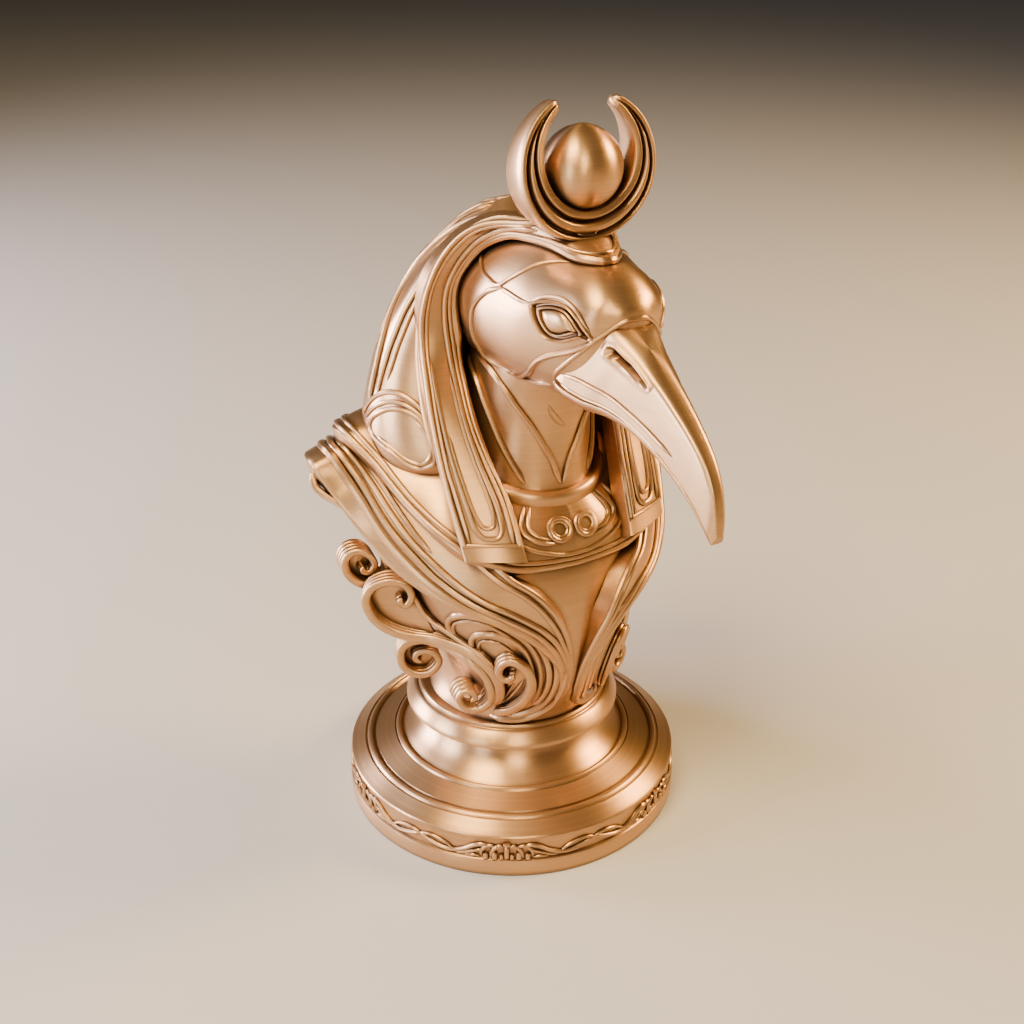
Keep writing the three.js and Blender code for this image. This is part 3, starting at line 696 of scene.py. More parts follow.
cape = {
    "rows": [
        [-3.4, -28.6, 39.5, -2.2, -28.8, 40.5, 2.6], [-3.2, -31, 47, -1.4, -31.8, 48.5, 2.8],
        [-6.4, -33.2, 55.5, -3, -34.5, 57.3, 3], [-13.8, -32, 62.9, -6.2, -36.6, 66.5, 3.2],
        [-20.8, -29.5, 67.2, -11.4, -34.8, 74.3, 3.4], [-27.3, -25, 70.4, -17.6, -30.6, 79.4, 3.6],
        [-33.4, -18.6, 74.2, -22.2, -23, 86, 3.8], [-38.4, -10.8, 78.9, -26.8, -14.8, 91, 4],
        [-42, -4, 85, -29.8, -6.8, 96, 4.4], [-45.4, 1, 92, -32, 0.4, 99.8, 5],
        [-49, 5.6, 100, -35, 7, 103, 6], [-47.6, 15, 99.4, -33, 12.6, 102.8, 6],
        [-40, 24.5, 94, -29, 20, 101, 5], [-26, 31.5, 87.5, -18, 25.5, 97, 4.4],
        [-12, 34.7, 82.4, -8, 28.3, 94.2, 4], [0, 35.4, 81.5, 0, 28.8, 93.8, 4],
    ],
    "swell": 0.06, "loop": False, "stations": 180, "across": 22, "edge": 0.4,
}
capePiece = keep(makeMesh("shoulder_cape", [capeShell(cape)]))
capeLines = [
    {"wide": 2.6, "lift": -0.5, "at": onCape(cape, [
        [0, 0.1], [0.05, 0.1], [0.12, 0.1], [0.2, 0.12], [0.27, 0.12], [0.35, 0.13], [0.42, 0.17],
        [0.5, 0.23], [0.58, 0.29], [0.65, 0.32], [0.72, 0.29], [0.8, 0.21], [0.88, 0.13], [0.95, 0.08],
        [1, 0.07]])},
    {"wide": 1.7, "at": onCape(cape, [
        [0.08, 0.34], [0.143, 0.32], [0.193, 0.36], [0.228, 0.32], [0.27, 0.28], [0.315, 0.27],
        [0.352, 0.27], [0.388, 0.28], [0.415, 0.3], [0.5, 0.37], [0.588, 0.43], [0.652, 0.45], [0.7, 0.43],
        [0.8, 0.36], [0.9, 0.28], [1, 0.25]])},
    {"wide": 1.5, "at": onCape(cape, [
        [0.04, 0.6], [0.1, 0.6], [0.16, 0.6], [0.2, 0.58], [0.233, 0.51], [0.273, 0.45], [0.315, 0.42],
        [0.348, 0.41], [0.38, 0.41], [0.415, 0.43], [0.46, 0.47], [0.51, 0.51], [0.573, 0.55],
        [0.623, 0.57], [0.655, 0.57], [0.7, 0.56], [0.8, 0.5], [0.9, 0.43], [1, 0.41]])},
    {"wide": 1.2, "at": onCape(cape, [
        [0.43, 0.53], [0.458, 0.57], [0.503, 0.62], [0.56, 0.66], [0.615, 0.68], [0.655, 0.69],
        [0.72, 0.68], [0.8, 0.64], [0.9, 0.6], [1, 0.59]])},
    {"wide": 1.4, "at": onCape(cape, [
        [0.05, 0.82], [0.118, 0.76], [0.165, 0.78], [0.205, 0.82], [0.247, 0.86], [0.288, 0.88],
        [0.328, 0.87], [0.355, 0.85], [0.375, 0.84], [0.42, 0.83], [0.5, 0.82], [0.58, 0.81], [0.65, 0.8],
        [0.72, 0.79], [0.8, 0.78], [0.9, 0.78], [1, 0.78]])},
    {"wide": 1.6, "lift": 0, "at": onCape(cape, [
        [0, 0.95], [0.04, 0.95], [0.1, 0.96], [0.17, 0.98], [0.23, 1], [0.28, 1], [0.33, 1], [0.38, 0.97],
        [0.42, 0.96], [0.5, 0.94], [0.58, 0.92], [0.65, 0.92]])},
]
capeLines = [acrossBack(line) for line in capeLines[:-1]] + onBothSides(capeLines[-1:])
ribs("cape_ribs", capeLines, [capePiece])
print("stage: shoulder cape")


# Collar over it, a closed loop from the middle of the front

collar = {
    "rows": [
        [0, -32.4, 79.6, 0, -26, 92.4, 3.6], [-8, -32, 79.9, -6, -24.8, 92.8, 3.6],
        [-16, -30.6, 80.8, -11, -21.2, 93.8, 3.6], [-24, -27, 84, -15.4, -16, 97, 3.6],
        [-29.6, -20.6, 88.4, -18.4, -10.4, 101.4, 3.6], [-33.6, -11.6, 93.4, -20, -3.4, 106, 3.6],
        [-37, -2.6, 100, -20, 2.4, 108, 3.8], [-41.2, 6.4, 106, -18, 6.6, 108.4, 4],
        [-40, 15, 105.2, -15, 10.4, 108.4, 4], [-31, 22.6, 101, -10, 13, 107.4, 4],
        [-16, 28.9, 96.4, -5, 14.6, 106, 4], [0, 31, 95.2, 0, 15, 105.4, 4],
    ],
    "swell": 0.1, "loop": True, "stations": 150, "across": 26, "edge": 0.35,
}
collarPiece = keep(makeMesh("collar", [capeShell(collar)]))
frontToBack = np.linspace(0, 1, 23)
hemLines = [
    {"wide": 1.2, "lift": 0, "at": onCape(collar, [[t, 0.03] for t in frontToBack])},
    {"wide": 1.1, "lift": 0.05, "at": onCape(collar, [[t, 0.105] for t in frontToBack])},
]
collarLines = [
    {"wide": 1.1, "lift": 0.05, "taper": 0, "at": onCape(collar, [
        [0, 0.18], [0.04, 0.18], [0.083, 0.23], [0.125, 0.28], [0.168, 0.35], [0.2, 0.4]])},
    {"wide": 1.3, "at": onCape(collar, [
        [0.145, 0.97], [0.16, 0.73], [0.165, 0.57], [0.143, 0.47], [0.105, 0.4], [0.06, 0.37]])},
    {"wide": 1.1, "at": onCape(collar, [
        [0.125, 0.97], [0.14, 0.74], [0.14, 0.6], [0.125, 0.52], [0.1, 0.46], [0.07, 0.44]])},
    {"wide": 1.2, "at": onCape(collar, [[0.19, 0.93], [0.193, 0.75], [0.198, 0.57]])},
]
eyelet = {
    "middle": (-3.5, -29.9, 88.2), "across": (0.99, -0.1, 0), "up": (0, 0.42, 0.9),
    "radii": (2.7, 1.9), "wide": (1.3, 0.9), "steps": 12,
}
for reach, wide in zip(eyelet["radii"], eyelet["wide"]):
    turn = roundTurn(eyelet["steps"])[:, None]
    ring = eyelet["middle"] + reach * (np.cos(turn) * eyelet["across"] + np.sin(turn) * eyelet["up"])
    collarLines.append({"wide": wide, "loop": True, "lift": 0.1, "at": ring.tolist()})
ribs("collar_ribs", onBothSides(collarLines) + [allRound(line) for line in hemLines], [collarPiece])
print("stage: collar")


# Hood band and lappets: from the lappet's foot over the head to the brow

band = {
    "rows": [
        [-26.4, -27.6, 84.3, -14.2, -33.4, 83.8, 3.2], [-27.2, -22, 95, -15, -27.6, 95, 3.2],
        [-27.6, -17.4, 104, -16.6, -21.6, 103.5, 3.2], [-27.6, -13.6, 113, -17.6, -15.6, 112.5, 3.2],
        [-27.2, -9.6, 122, -17.4, -9.4, 122.5, 3.4], [-26.6, -6.6, 130, -18, -7.9, 131.5, 3.6],
        [-26, -6.8, 137.5, -18.4, -7.2, 138, 3.8], [-24.6, -7.6, 143.5, -17.5, -7.8, 143.2, 3.8],
        [-21.6, -9, 149.4, -15.6, -10.3, 148.1, 3.6], [-17.4, -12, 154.4, -12.8, -13.4, 151.8, 3.4],
        [-12.6, -17, 157.8, -9.8, -19, 154.2, 3], [-7.6, -24.2, 158.2, -7, -28.6, 154.3, 3],
        [-4, -29.6, 156.8, -4.6, -37.4, 153, 3], [0, -31, 156.2, 0, -40.8, 152.9, 3],
    ],
    "swell": 0.05, "loop": False, "stations": 170, "across": 18, "edge": 0.35,
}
bandPiece = keep(makeMesh("hood_band", [capeShell(band)]))
bandLines = [
    {"wide": 1.3, "taper": 0, "at": onCape(band, [
        [0.024, 0.05], [0.1, 0.04], [0.2, 0.04], [0.3, 0.04], [0.45, 0.04], [0.6, 0.05], [0.72, 0.06],
        [0.86, 0.06]])},
    {"wide": 1.1, "at": onCape(band, [
        [0.024, 0.15], [0.1, 0.14], [0.15, 0.13], [0.233, 0.13], [0.3, 0.14], [0.362, 0.15], [0.458, 0.17],
        [0.55, 0.2], [0.633, 0.22], [0.72, 0.24], [0.84, 0.26]])},
    {"wide": 1.0, "lift": 0.05, "at": onCape(band, [
        [0.21, 0.31], [0.17, 0.32], [0.1, 0.335], [0.07, 0.36], [0.052, 0.42], [0.048, 0.52], [0.052, 0.62],
        [0.07, 0.67], [0.1, 0.68], [0.17, 0.67], [0.23, 0.65], [0.3, 0.62]])},
    {"wide": 1.2, "lift": 0, "taper": 0, "at": onCape(band, [
        [0.024, 0.96], [0.1, 0.97], [0.163, 0.96], [0.23, 0.94], [0.292, 0.94], [0.348, 0.95],
        [0.4, 0.97]])},
    {"wide": 0.9, "taper": 0, "at": onCape(band, [
        [0.024, 0.04], [0.024, 0.3], [0.024, 0.6], [0.024, 0.96]])},
    {"wide": 1.3, "at": onCape(band, [
        [0.34, 0.2], [0.28, 0.215], [0.2, 0.24], [0.13, 0.26], [0.08, 0.27], [0.052, 0.29], [0.04, 0.34],
        [0.034, 0.42], [0.033, 0.52], [0.034, 0.62], [0.04, 0.7], [0.052, 0.745], [0.08, 0.765],
        [0.12, 0.76], [0.163, 0.75], [0.233, 0.73], [0.297, 0.71], [0.352, 0.69], [0.42, 0.68],
        [0.495, 0.68], [0.58, 0.68], [0.64, 0.67], [0.708, 0.64], [0.78, 0.58], [0.84, 0.5]])},
]
browLines = [
    {"wide": 1.2, "at": onCape(band, [
        [0.024, 0.87], [0.08, 0.88], [0.163, 0.87], [0.23, 0.84], [0.295, 0.83], [0.35, 0.82],
        [0.415, 0.82], [0.478, 0.83], [0.55, 0.83], [0.65, 0.83], [0.75, 0.83], [0.85, 0.83], [0.93, 0.83],
        [1, 0.83]])},
    {"wide": 2.4, "lift": -0.3, "at": onCape(band, [
        [0.34, 0.97], [0.42, 0.99], [0.5, 1], [0.6, 1], [0.7, 1], [0.8, 1], [0.9, 1], [0.97, 1], [1, 1]])},
]
bandLines = onBothSides(bandLines) + [acrossBack(line) for line in browLines]
ribs("hood_band_ribs", bandLines, [bandPiece])
print("stage: hood band")


# Neck and the rolled band at its foot

neck = {
    "rows": [
        [86, 18, -26, 8, -8.5, 0, 2], [92, 16.6, -25.4, 7, -8.5, 0, 2], [97, 15, -24.2, 6, -8.5, 0, 2],
        [103, 14.4, -23.8, 6, -8.5, 0, 2], [111, 13.8, -24, 7, -9, 0, 2], [118, 13.8, -26, 8, -10, 0, 2],
        [125, 13.4, -29, 8, -11, 0, 2], [131, 12, -28, 6, -12, 0, 2],
    ],
    "steps": 90, "sides": 120,
}
neckBand = {  # its section is outwards and up from the radius and the height
    "radius": 16.2, "middle": -8.4, "height": 98, "tilt": 4.4, "steps": 160,
    "section": [[1.5, -2.6], [1.75, -1.6], [1.9, 0.2], [1.75, 1.0], [1.3, 1.55], [0.6, 1.75], [-0.6, 1.75],
                [-1.4, 1.5], [-2.6, -2.6]],
}
neckLines = [
    {"wide": 1.5, "lift": 0.25, "at": [[-13.1, -8.3, 125.7], [-13.1, -15.1, 123.5], [-11.7, -19, 119.8],
                                       [-9.3, -21.1, 115.3], [-6.8, -22.1, 111.4], [-4.2, -23.1, 106.3],
                                       [-2.3, -23.6, 102.7], [-0.8, -24, 98.2], [-0.2, -24.2, 96.5]]},
    {"wide": 1.6, "lift": 0.25, "at": [[-12, -2, 123.6], [-13.7, -9.4, 119.4], [-13.3, -13.3, 113.4],
                                       [-12, -16.6, 107], [-9.8, -19.6, 101], [-8, -21.4, 97]]},
]
throatLine = {"wide": 1.2, "lift": 0.2, "at": [[-4.1, -24.9, 116.9], [-3, -24.5, 114.6],
                                               [-1.2, -24.2, 112.3], [0.8, -23.9, 110.6]]}


def makeNeck():
    angle = roundTurn(neckBand["steps"])
    section = np.array(neckBand["section"])
    radius = neckBand["radius"] + section[:, 0]
    x = np.cos(angle)[:, None] * radius
    y = neckBand["middle"] + np.sin(angle)[:, None] * radius
    z = neckBand["height"] + neckBand["tilt"] * np.sin(angle)[:, None] + section[:, 1]
    ring = np.stack([x, y, z], -1)
    return keep(makeMesh("neck", [tubeShell(levelGrid(neck)), tubeShell(ring, True)]))


neckPiece = makeNeck()
ribs("neck_ribs", onBothSides(neckLines) + [throatLine], [neckPiece], 8)
print("stage: neck")


# Head: sections across the face, as y, top, bottom, widest height and half width

head = {
    "rows": [
        [3, 148, 126, 137, 9], [-3, 152, 121, 137, 16.4], [-12, 154.4, 120, 138, 17.6],
        [-21, 155.2, 120.4, 138.8, 17], [-29, 154.2, 121, 139.8, 16], [-36, 152.4, 121.8, 140.8, 14.4],
        [-42, 151.8, 123.4, 141.6, 12.2], [-46, 150.8, 126.6, 142.6, 10.2], [-49, 149, 132, 143.8, 7.8],
        [-51, 147, 138.6, 144.2, 4.6], [-51.9, 145.6, 140.8, 143.8, 2.6], [-52.2, 144.2, 142.4, 143.4, 0.8],
    ],
    "fullness": 0.92, "steps": 140, "sides": 190,
}
# Beak: ridge y z, keel y z, half width; the section gives share of half width and share of height
beak = {
    "rows": [
        [-36, 143, -30, 127, 6], [-43, 145.4, -36.4, 123.4, 9.8], [-51.4, 142.2, -43.5, 122.2, 8.8],
        [-57.6, 138.4, -50.5, 122.4, 6.5], [-63, 135, -57, 121.9, 5.3], [-69, 131.2, -63.8, 120, 4.4],
        [-74.6, 127.1, -69.8, 117.2, 3.6], [-78.9, 123, -74.8, 114.2, 3], [-81.6, 118.6, -78.4, 111.2, 2.4],
        [-83, 113.6, -81, 108.6, 1.9], [-83.4, 109.4, -82.1, 107.2, 1.3],
    ],
    "section": [[0, 1], [0.3, 0.995], [0.5, 0.97], [0.62, 0.92], [0.7, 0.84], [0.84, 0.66], [0.98, 0.44],
                [1.06, 0.3], [1.07, 0.255], [0.98, 0.235], [0.98, 0.21], [1.06, 0.19], [1.02, 0.13],
                [0.84, 0.06], [0.5, 0.015], [0, 0]],
    "steps": 180, "sectionSteps": 6,
    # outline of the nostril seen from the side, its depth, and the raised rim round it
    "nostril": [[-50.9, 138.1], [-51.1, 137.2], [-53.2, 136.4], [-56.7, 134.9], [-59.9, 133.7],
                [-62.3, 133.1], [-58.4, 135.6], [-55.3, 137.2], [-52.9, 138.4], [-51.5, 138.6]],
    "nostrilSpacing": 0.4, "nostrilDepth": 2.2, "nostrilEdge": 0.5,
    "rimHeight": 0.3, "rimOut": 0.45, "rimWide": 0.35,
    "flankFrom": 1.5,  # only skin this far from the middle plane is the beak's flank
}
# Eye: its lids' outline from the rear corner over the top and back below
eye = {
    "outline": [[-14.3, -34.2, 144.2], [-13.6, -35.6, 144.9], [-12.5, -38.5, 145.6], [-11.4, -41.5, 145.7],
                [-10.7, -44.1, 145.1], [-9.8, -46.1, 143.5], [-8.9, -47.4, 141.6], [-7.9, -48.7, 139.4],
                [-9.5, -46.9, 139.7], [-10.6, -45, 138.9], [-11.8, -42.3, 137.8], [-13, -39.5, 137.7],
                [-13.8, -37.6, 138.7], [-14.4, -35.9, 140.7], [-14.6, -34.8, 142.5]],
    # which of its points are the two corners and the middles of the two lids
    "rear": 0, "front": 7, "upper": slice(2, 5), "lower": slice(10, 13), "spacing": 0.5,
    # share of the outline and height over the cheek
    "steps": [[0.02, 0.3], [0.15, 0.29], [0.3, 0.2], [0.42, 0.02], [0.5, -0.2], [0.55, -0.5], [0.58, -0.85],
              [0.61, -0.6], [0.645, -0.1], [0.68, 0], [0.72, -0.1], [0.75, -0.5], [0.78, -0.85],
              [0.83, -0.8], [0.87, -0.2], [0.91, 0.35], [0.955, 0.55], [1, 0.45], [1.05, 0], [1.1, -0.8],
              [1.14, -1.8]],
    "sink": 2.4, "sinkShare": 0.93, "sinkEdge": 0.9,
    "near": 8,  # the skin within this of the eye's plane is the cheek and not the other side
    "before": 12,  # rays at the cheek start this far before the eye
}


def insideDistance(points, outline):  # distance to an outline in the plane, positive inside
    outline = np.asarray(outline, float)
    ahead = np.roll(outline, -1, 0)
    gap = np.full(len(points), np.inf)
    inside = np.zeros(len(points), bool)
    for a, b in zip(outline, ahead):
        along = np.clip(((points - a) @ (b - a)) / ((b - a) @ (b - a)), 0, 1)
        gap = np.minimum(gap, np.linalg.norm(points - a - along[:, None] * (b - a), axis=1))
        crosses = (a[1] > points[:, 1]) != (b[1] > points[:, 1])
        rise = b[1] - a[1] or 1  # a level side is never crossed, so any number does there
        inside ^= crosses & (points[:, 0] < (b[0] - a[0]) * (points[:, 1] - a[1]) / rise + a[0])
    return np.where(inside, gap, -gap)


def smoothOutline(points, spacing):
    points = np.asarray(points, float)
    return smoothPath(np.concatenate([points, points[:1]]), spacing)[:-1]


def eyeAxes():  # middle of the eye, its long way, its short way and the way it looks
    outline = np.array(eye["outline"])
    middle = outline.mean(0)
    long = outline[eye["front"]] - outline[eye["rear"]]
    long /= np.linalg.norm(long)
    up = outline[eye["upper"]].mean(0) - outline[eye["lower"]].mean(0)
    out = np.cross(up, long)
    out *= np.sign(-out[0]) / np.linalg.norm(out)
    return middle, long, np.cross(out, long), out


def headGrid():
    rows = blendRows(head["rows"], np.linspace(0, 1, head["steps"] + 1))
    y, top, bottom, middle, half = rows.T[:, :, None]
    angle = roundTurn(head["sides"])[None, :]
    rise = np.sin(angle)
    z = np.where(rise > 0, middle + (top - middle) * rise, middle + (middle - bottom) * rise)
    return np.stack([half * power(np.cos(angle), head["fullness"]), y + 0 * angle, z], -1)


def headShells():  # the head with its sockets sunk, and lids and eyeballs as shells of their own
    grid = headGrid()
    verts, faces = tubeShell(grid)
    surface = BVHTree.FromPolygons([Vector(p) for p in verts], faces)
    middle, long, up, out = eyeAxes()
    outline = smoothOutline(eye["outline"], eye["spacing"]) - middle
    flat = np.stack([outline @ long, outline @ up], 1)
    shells = []
    sunk = np.array(verts)
    steps = np.array(eye["steps"])
    for flip in flips:
        local = verts * flip - middle
        near = (np.abs(local @ out) < eye["near"]) & (verts[:, 0] * flip[0] < 0)
        deep = insideDistance(np.stack([local @ long, local @ up], 1)[near], flat * eye["sinkShare"])
        sunk[near] -= out * flip * (eye["sink"] * easeIn(deep / eye["sinkEdge"]))[:, None]
        rings = []
        for share, height in steps:
            ring = []
            for a, b in flat * share:
                start = (middle + long * a + up * b + out * eye["before"]) * flip
                hit = surface.ray_cast(Vector(start), Vector(-out * flip))[0]
                ring.append(np.array(hit) + out * flip * height)
            rings.append(ring)
        shells.append(tubeShell(np.array(rings)))
    return [(sunk, faces), *shells]


def beakGrid():
    rows = blendRows(beak["rows"], np.linspace(0, 1, beak["steps"] + 1))
    ridgeY, ridgeZ, keelY, keelZ, half = rows.T[:, :, None]
    section = np.array(beak["section"])
    section = np.concatenate([section, (section * [-1, 1])[1:-1][::-1]])
    steps = np.linspace(0, 1, beak["sectionSteps"] * len(section) + 1)
    across, rise = blendRows(np.concatenate([section, section[:1]]), steps)[:-1].T
    grid = np.stack([half * across, keelY + (ridgeY - keelY) * rise, keelZ + (ridgeZ - keelZ) * rise], -1)
    flat = grid.reshape(-1, 3).copy()
    deep = insideDistance(flat[:, 1:], smoothOutline(beak["nostril"], beak["nostrilSpacing"]))
    hollow = beak["nostrilDepth"] * easeIn(deep / beak["nostrilEdge"])
    rim = beak["rimHeight"] * np.exp(-((deep + beak["rimOut"]) / beak["rimWide"]) ** 2)
    flank = np.abs(flat[:, 0]) > beak["flankFrom"]
    flat[:, 0] += np.where(flank, np.sign(flat[:, 0]) * (rim - hollow), 0)
    return flat.reshape(grid.shape)


headPiece = keep(makeMesh("head", headShells()))
beakPiece = keep(makeMesh("beak", [tubeShell(beakGrid())]))
faceLines = [
    {"wide": 1, "at": [[-12.7, -10.4, 149.4], [-14.3, -12.9, 148], [-15.4, -15.7, 146.4],
                       [-15.7, -19, 145.6], [-15.6, -22.9, 145.2], [-14.6, -25.4, 146.8],
                       [-13.1, -27.8, 148.7], [-11, -29.9, 150.4], [-8.8, -31.9, 151.3], [-6.7, -34, 151.7],
                       [-5.6, -35.3, 151.8]]},
    {"wide": 1, "at": [[-15.6, -22.9, 145.2], [-15.4, -26.9, 144.7], [-14.9, -31.2, 144.1],
                       [-14.3, -34.3, 144.1]]},
    {"wide": 1.2, "at": [[-15.7, -24, 144.7], [-16.5, -20, 143.3], [-17.2, -16.8, 140.8],
                         [-17.5, -14.9, 138.4], [-17.4, -13.8, 135.4], [-16.8, -13.2, 132.3],
                         [-15.6, -13.3, 129.4], [-13.7, -13.3, 126.3], [-12.6, -17, 124.3],
                         [-11.6, -20.5, 123.6], [-10.8, -23.8, 124.6], [-12.3, -30, 127.6],
                         [-13, -33.4, 130.4], [-13, -36.3, 132.6], [-12.2, -39.9, 134.5],
                         [-10.8, -43.8, 136.1], [-9.5, -46.3, 137.4], [-8, -48.3, 138.8],
                         [-6.8, -49.4, 139.7]]},
    {"wide": 1.2, "at": [[-14.3, -10.7, 127.5], [-13, -13, 124.7], [-12.5, -17.7, 123.8],
                         [-10.5, -21.5, 123.2], [-10.1, -28, 125], [-9.9, -32.7, 125.9],
                         [-9.4, -35.3, 126.2]]},
    {"wide": 0.9, "at": [[-14, -34.6, 144.6], [-12.7, -37.2, 146], [-11.3, -40.5, 146.5],
                         [-10.6, -43.2, 146.1], [-9.9, -45.9, 144.7], [-9, -47.6, 142.3],
                         [-8.3, -48.3, 140.8]]},
]
ribs("face_ribs", onBothSides(faceLines), [headPiece], 8)
beakLines = [
    {"wide": 0.9, "at": [[-8.7, -40.5, 129.9], [-8.3, -44.7, 130.2], [-7.5, -49.5, 129.6],
                         [-6.4, -53.9, 128.6], [-5.5, -58.4, 127.2], [-4.8, -63.2, 125.6],
                         [-4.2, -67.4, 123.9], [-3.7, -71.5, 122]]},
    {"wide": 0.9, "at": [[-7.6, -38.7, 126.8], [-7.5, -45, 127.1], [-6.7, -50, 127.1], [-5.7, -54.5, 126.3],
                         [-4.7, -58.8, 124.6], [-4.1, -63.1, 123.1], [-3.6, -68.1, 121]]},
]
ribs("beak_ribs", onBothSides(beakLines), [beakPiece], 8)

# Edge where the beak leaves the head, laid on whichever of the two stands out
beakEdge = {
    "at": [[0, -52.6, 144], [-2, -52.3, 143.9], [-4.7, -51.1, 142.3], [-6.9, -49.8, 140.4],
           [-8.1, -48.6, 139.2], [-9.2, -47.1, 137.3], [-10.2, -44.6, 134.9], [-10.9, -41.5, 132.1],
           [-11, -39.2, 130.1], [-10.4, -38, 128.3]],
    "thickness": 0.55, "sink": 0.15, "middle": (0, -40, 136), "spacing": 0.4, "smoothing": 4, "sides": 12,
}


def makeBeakEdge():
    line = smoothPath(beakEdge["at"][::-1] + mirrored(beakEdge["at"][1:]), beakEdge["spacing"])
    path = outermost(line, [headPiece, beakPiece], beakEdge["middle"])
    path = evened(path, beakEdge["smoothing"])
    out = path - np.array(beakEdge["middle"])
    path = path - unit(out) * beakEdge["sink"]
    thickness = np.full(len(path), beakEdge["thickness"])
    section = roundSection(beakEdge["sides"])
    return keep(makeMesh("beak_edge", [sweptBar(path, thickness, out, section)]))


makeBeakEdge()
print("stage: head and beak")


# Hood: a closed skin as level sections, the hollow behind the neck, and the opening for the face
# as an outline of y and z

hood = {
    "rows": [
        [93, 30.5, -16, 28.4, 4, -0.3, 2.1], [96.5, 33.8, -20.4, 28.7, 4, -0.25, 2.1],
        [100.5, 35.6, -22.4, 28.2, 4, -0.16, 2.1], [105.5, 36.1, -21.6, 27, 4, -0.08, 2.1],
        [112, 35.4, -19.5, 25.4, 4, 0, 2.05], [121, 33, -15.8, 24, 4.4, 0, 2],
        [130, 29.8, -14.6, 21.8, 4, 0, 2], [138, 26.2, -17, 18.8, 1, 0, 2],
        [145, 23.2, -23, 15.6, -4, 0, 2], [150.5, 19.4, -26, 11.4, -9, 0, 2],
        [154.8, 15, -28, 6.6, -12, 0, 2], [157.6, 10, -27.5, 0, -14, 0, 2], [158.8, 4, -22, -8, -15, 0, 2],
    ],
    "steps": 100, "sides": 180,
    "hollow": {
        "rows": [
            [86, 18.4, -60, 1, -14, 0, 2.6], [100, 18.2, -60, 3.4, -14, 0, 2.6],
            [115, 17.8, -60, 4, -14, 0, 2.6], [128, 17.4, -60, 2, -14, 0, 2.6],
            [138, 15, -60, -2, -14, 0, 2.6],
        ],
        "steps": 24, "sides": 60,
    },
    "opening": [
        [-38.5, 152.8], [-33, 154.8], [-28, 156], [-22, 156.6], [-16.5, 155.6], [-11.4, 152.6],
        [-8.6, 148.6], [-7, 144], [-6.2, 139], [-5.8, 131], [-7, 125], [-11, 118], [-15.6, 111], [-21, 103],
        [-27, 93], [-70, 93], [-70, 152.8],
    ],
    "openingEnds": (-40, 40),  # x where the tool for the opening starts and stops
}


def cutAway(piece, tool):
    cut = piece.modifiers.new("cut", "BOOLEAN")
    cut.operation = "DIFFERENCE"
    cut.solver = "EXACT"
    cut.object = tool
    bakeModifiers(piece)
    bpy.data.objects.remove(tool)


def makeHood():
    piece = makeMesh("hood", [tubeShell(levelGrid(hood))])
    cutAway(piece, makeMesh("hollow", [tubeShell(levelGrid(hood["hollow"]))]))
    outline = np.array(hood["opening"])
    sides = [np.insert(outline, 0, x, axis=1) for x in hood["openingEnds"]]
    cutAway(piece, makeMesh("opening", [tubeShell(np.stack(sides))]))
    return keep(smoothed(piece))


hoodPiece = makeHood()
hoodLines = [
    {"wide": 1.7, "at": [[-34.9, 3.6, 113.5], [-34.2, 3.8, 116.9], [-32.6, 4.1, 122.6], [-30.6, 4.6, 128],
                         [-24.8, 6, 138.9], [-19.6, 1.8, 147.7], [-15.1, -5.1, 154], [-11.7, -11.8, 156.9],
                         [-8.7, -18, 157.9], [-6.4, -23.4, 158.2]]},
    {"wide": 1.4, "at": [[-34.2, 0.9, 115.6], [-33.4, 1.3, 119], [-31.8, 1.1, 123.8], [-29.9, 0.8, 128.5],
                         [-26.3, -1.1, 137.3], [-22.5, -6.2, 146.2], [-18.1, -9.2, 152],
                         [-13.8, -11.3, 155.6], [-10.6, -15.3, 157.4], [-8.4, -19.6, 158]]},
    {"wide": 1.2, "at": [[-32.7, -0.9, 119.8], [-31, -1, 124.5], [-29.2, -1.4, 129.2], [-25.8, -3.4, 138.1],
                         [-21.6, -7.8, 147.6], [-17.4, -10.3, 152.7], [-13.3, -13, 156],
                         [-10.2, -17.6, 157.6]]},
    {"wide": 1.5, "at": [[-26.6, -14.4, 104.2], [-27.6, -10.7, 112.8], [-27.1, -7.1, 121],
                         [-26.2, -5, 129.6], [-24.7, -4.8, 138.5], [-22.3, -6.9, 146.3],
                         [-19.3, -9.8, 150.6], [-16.1, -11.1, 153.9], [-12, -14.4, 156.7],
                         [-8.4, -20.1, 157.9]]},
]
# pleats down the back, from the crown to the collar
for turn in (30, 45, 60, 75):
    hoodLines.append({"wide": 1.5, "at": onLevels(hood, [
        [0.12, turn], [0.3, turn], [0.5, turn], [0.66, turn + 2], [0.8, turn + 5], [0.92, turn + 9]])})
middlePleat = {"wide": 1.5, "at": onLevels(hood, [
    [0.12, 90], [0.3, 90], [0.5, 90], [0.7, 90], [0.92, 90]])}
ribs("hood_ribs", onBothSides(hoodLines) + [middlePleat], [hoodPiece])

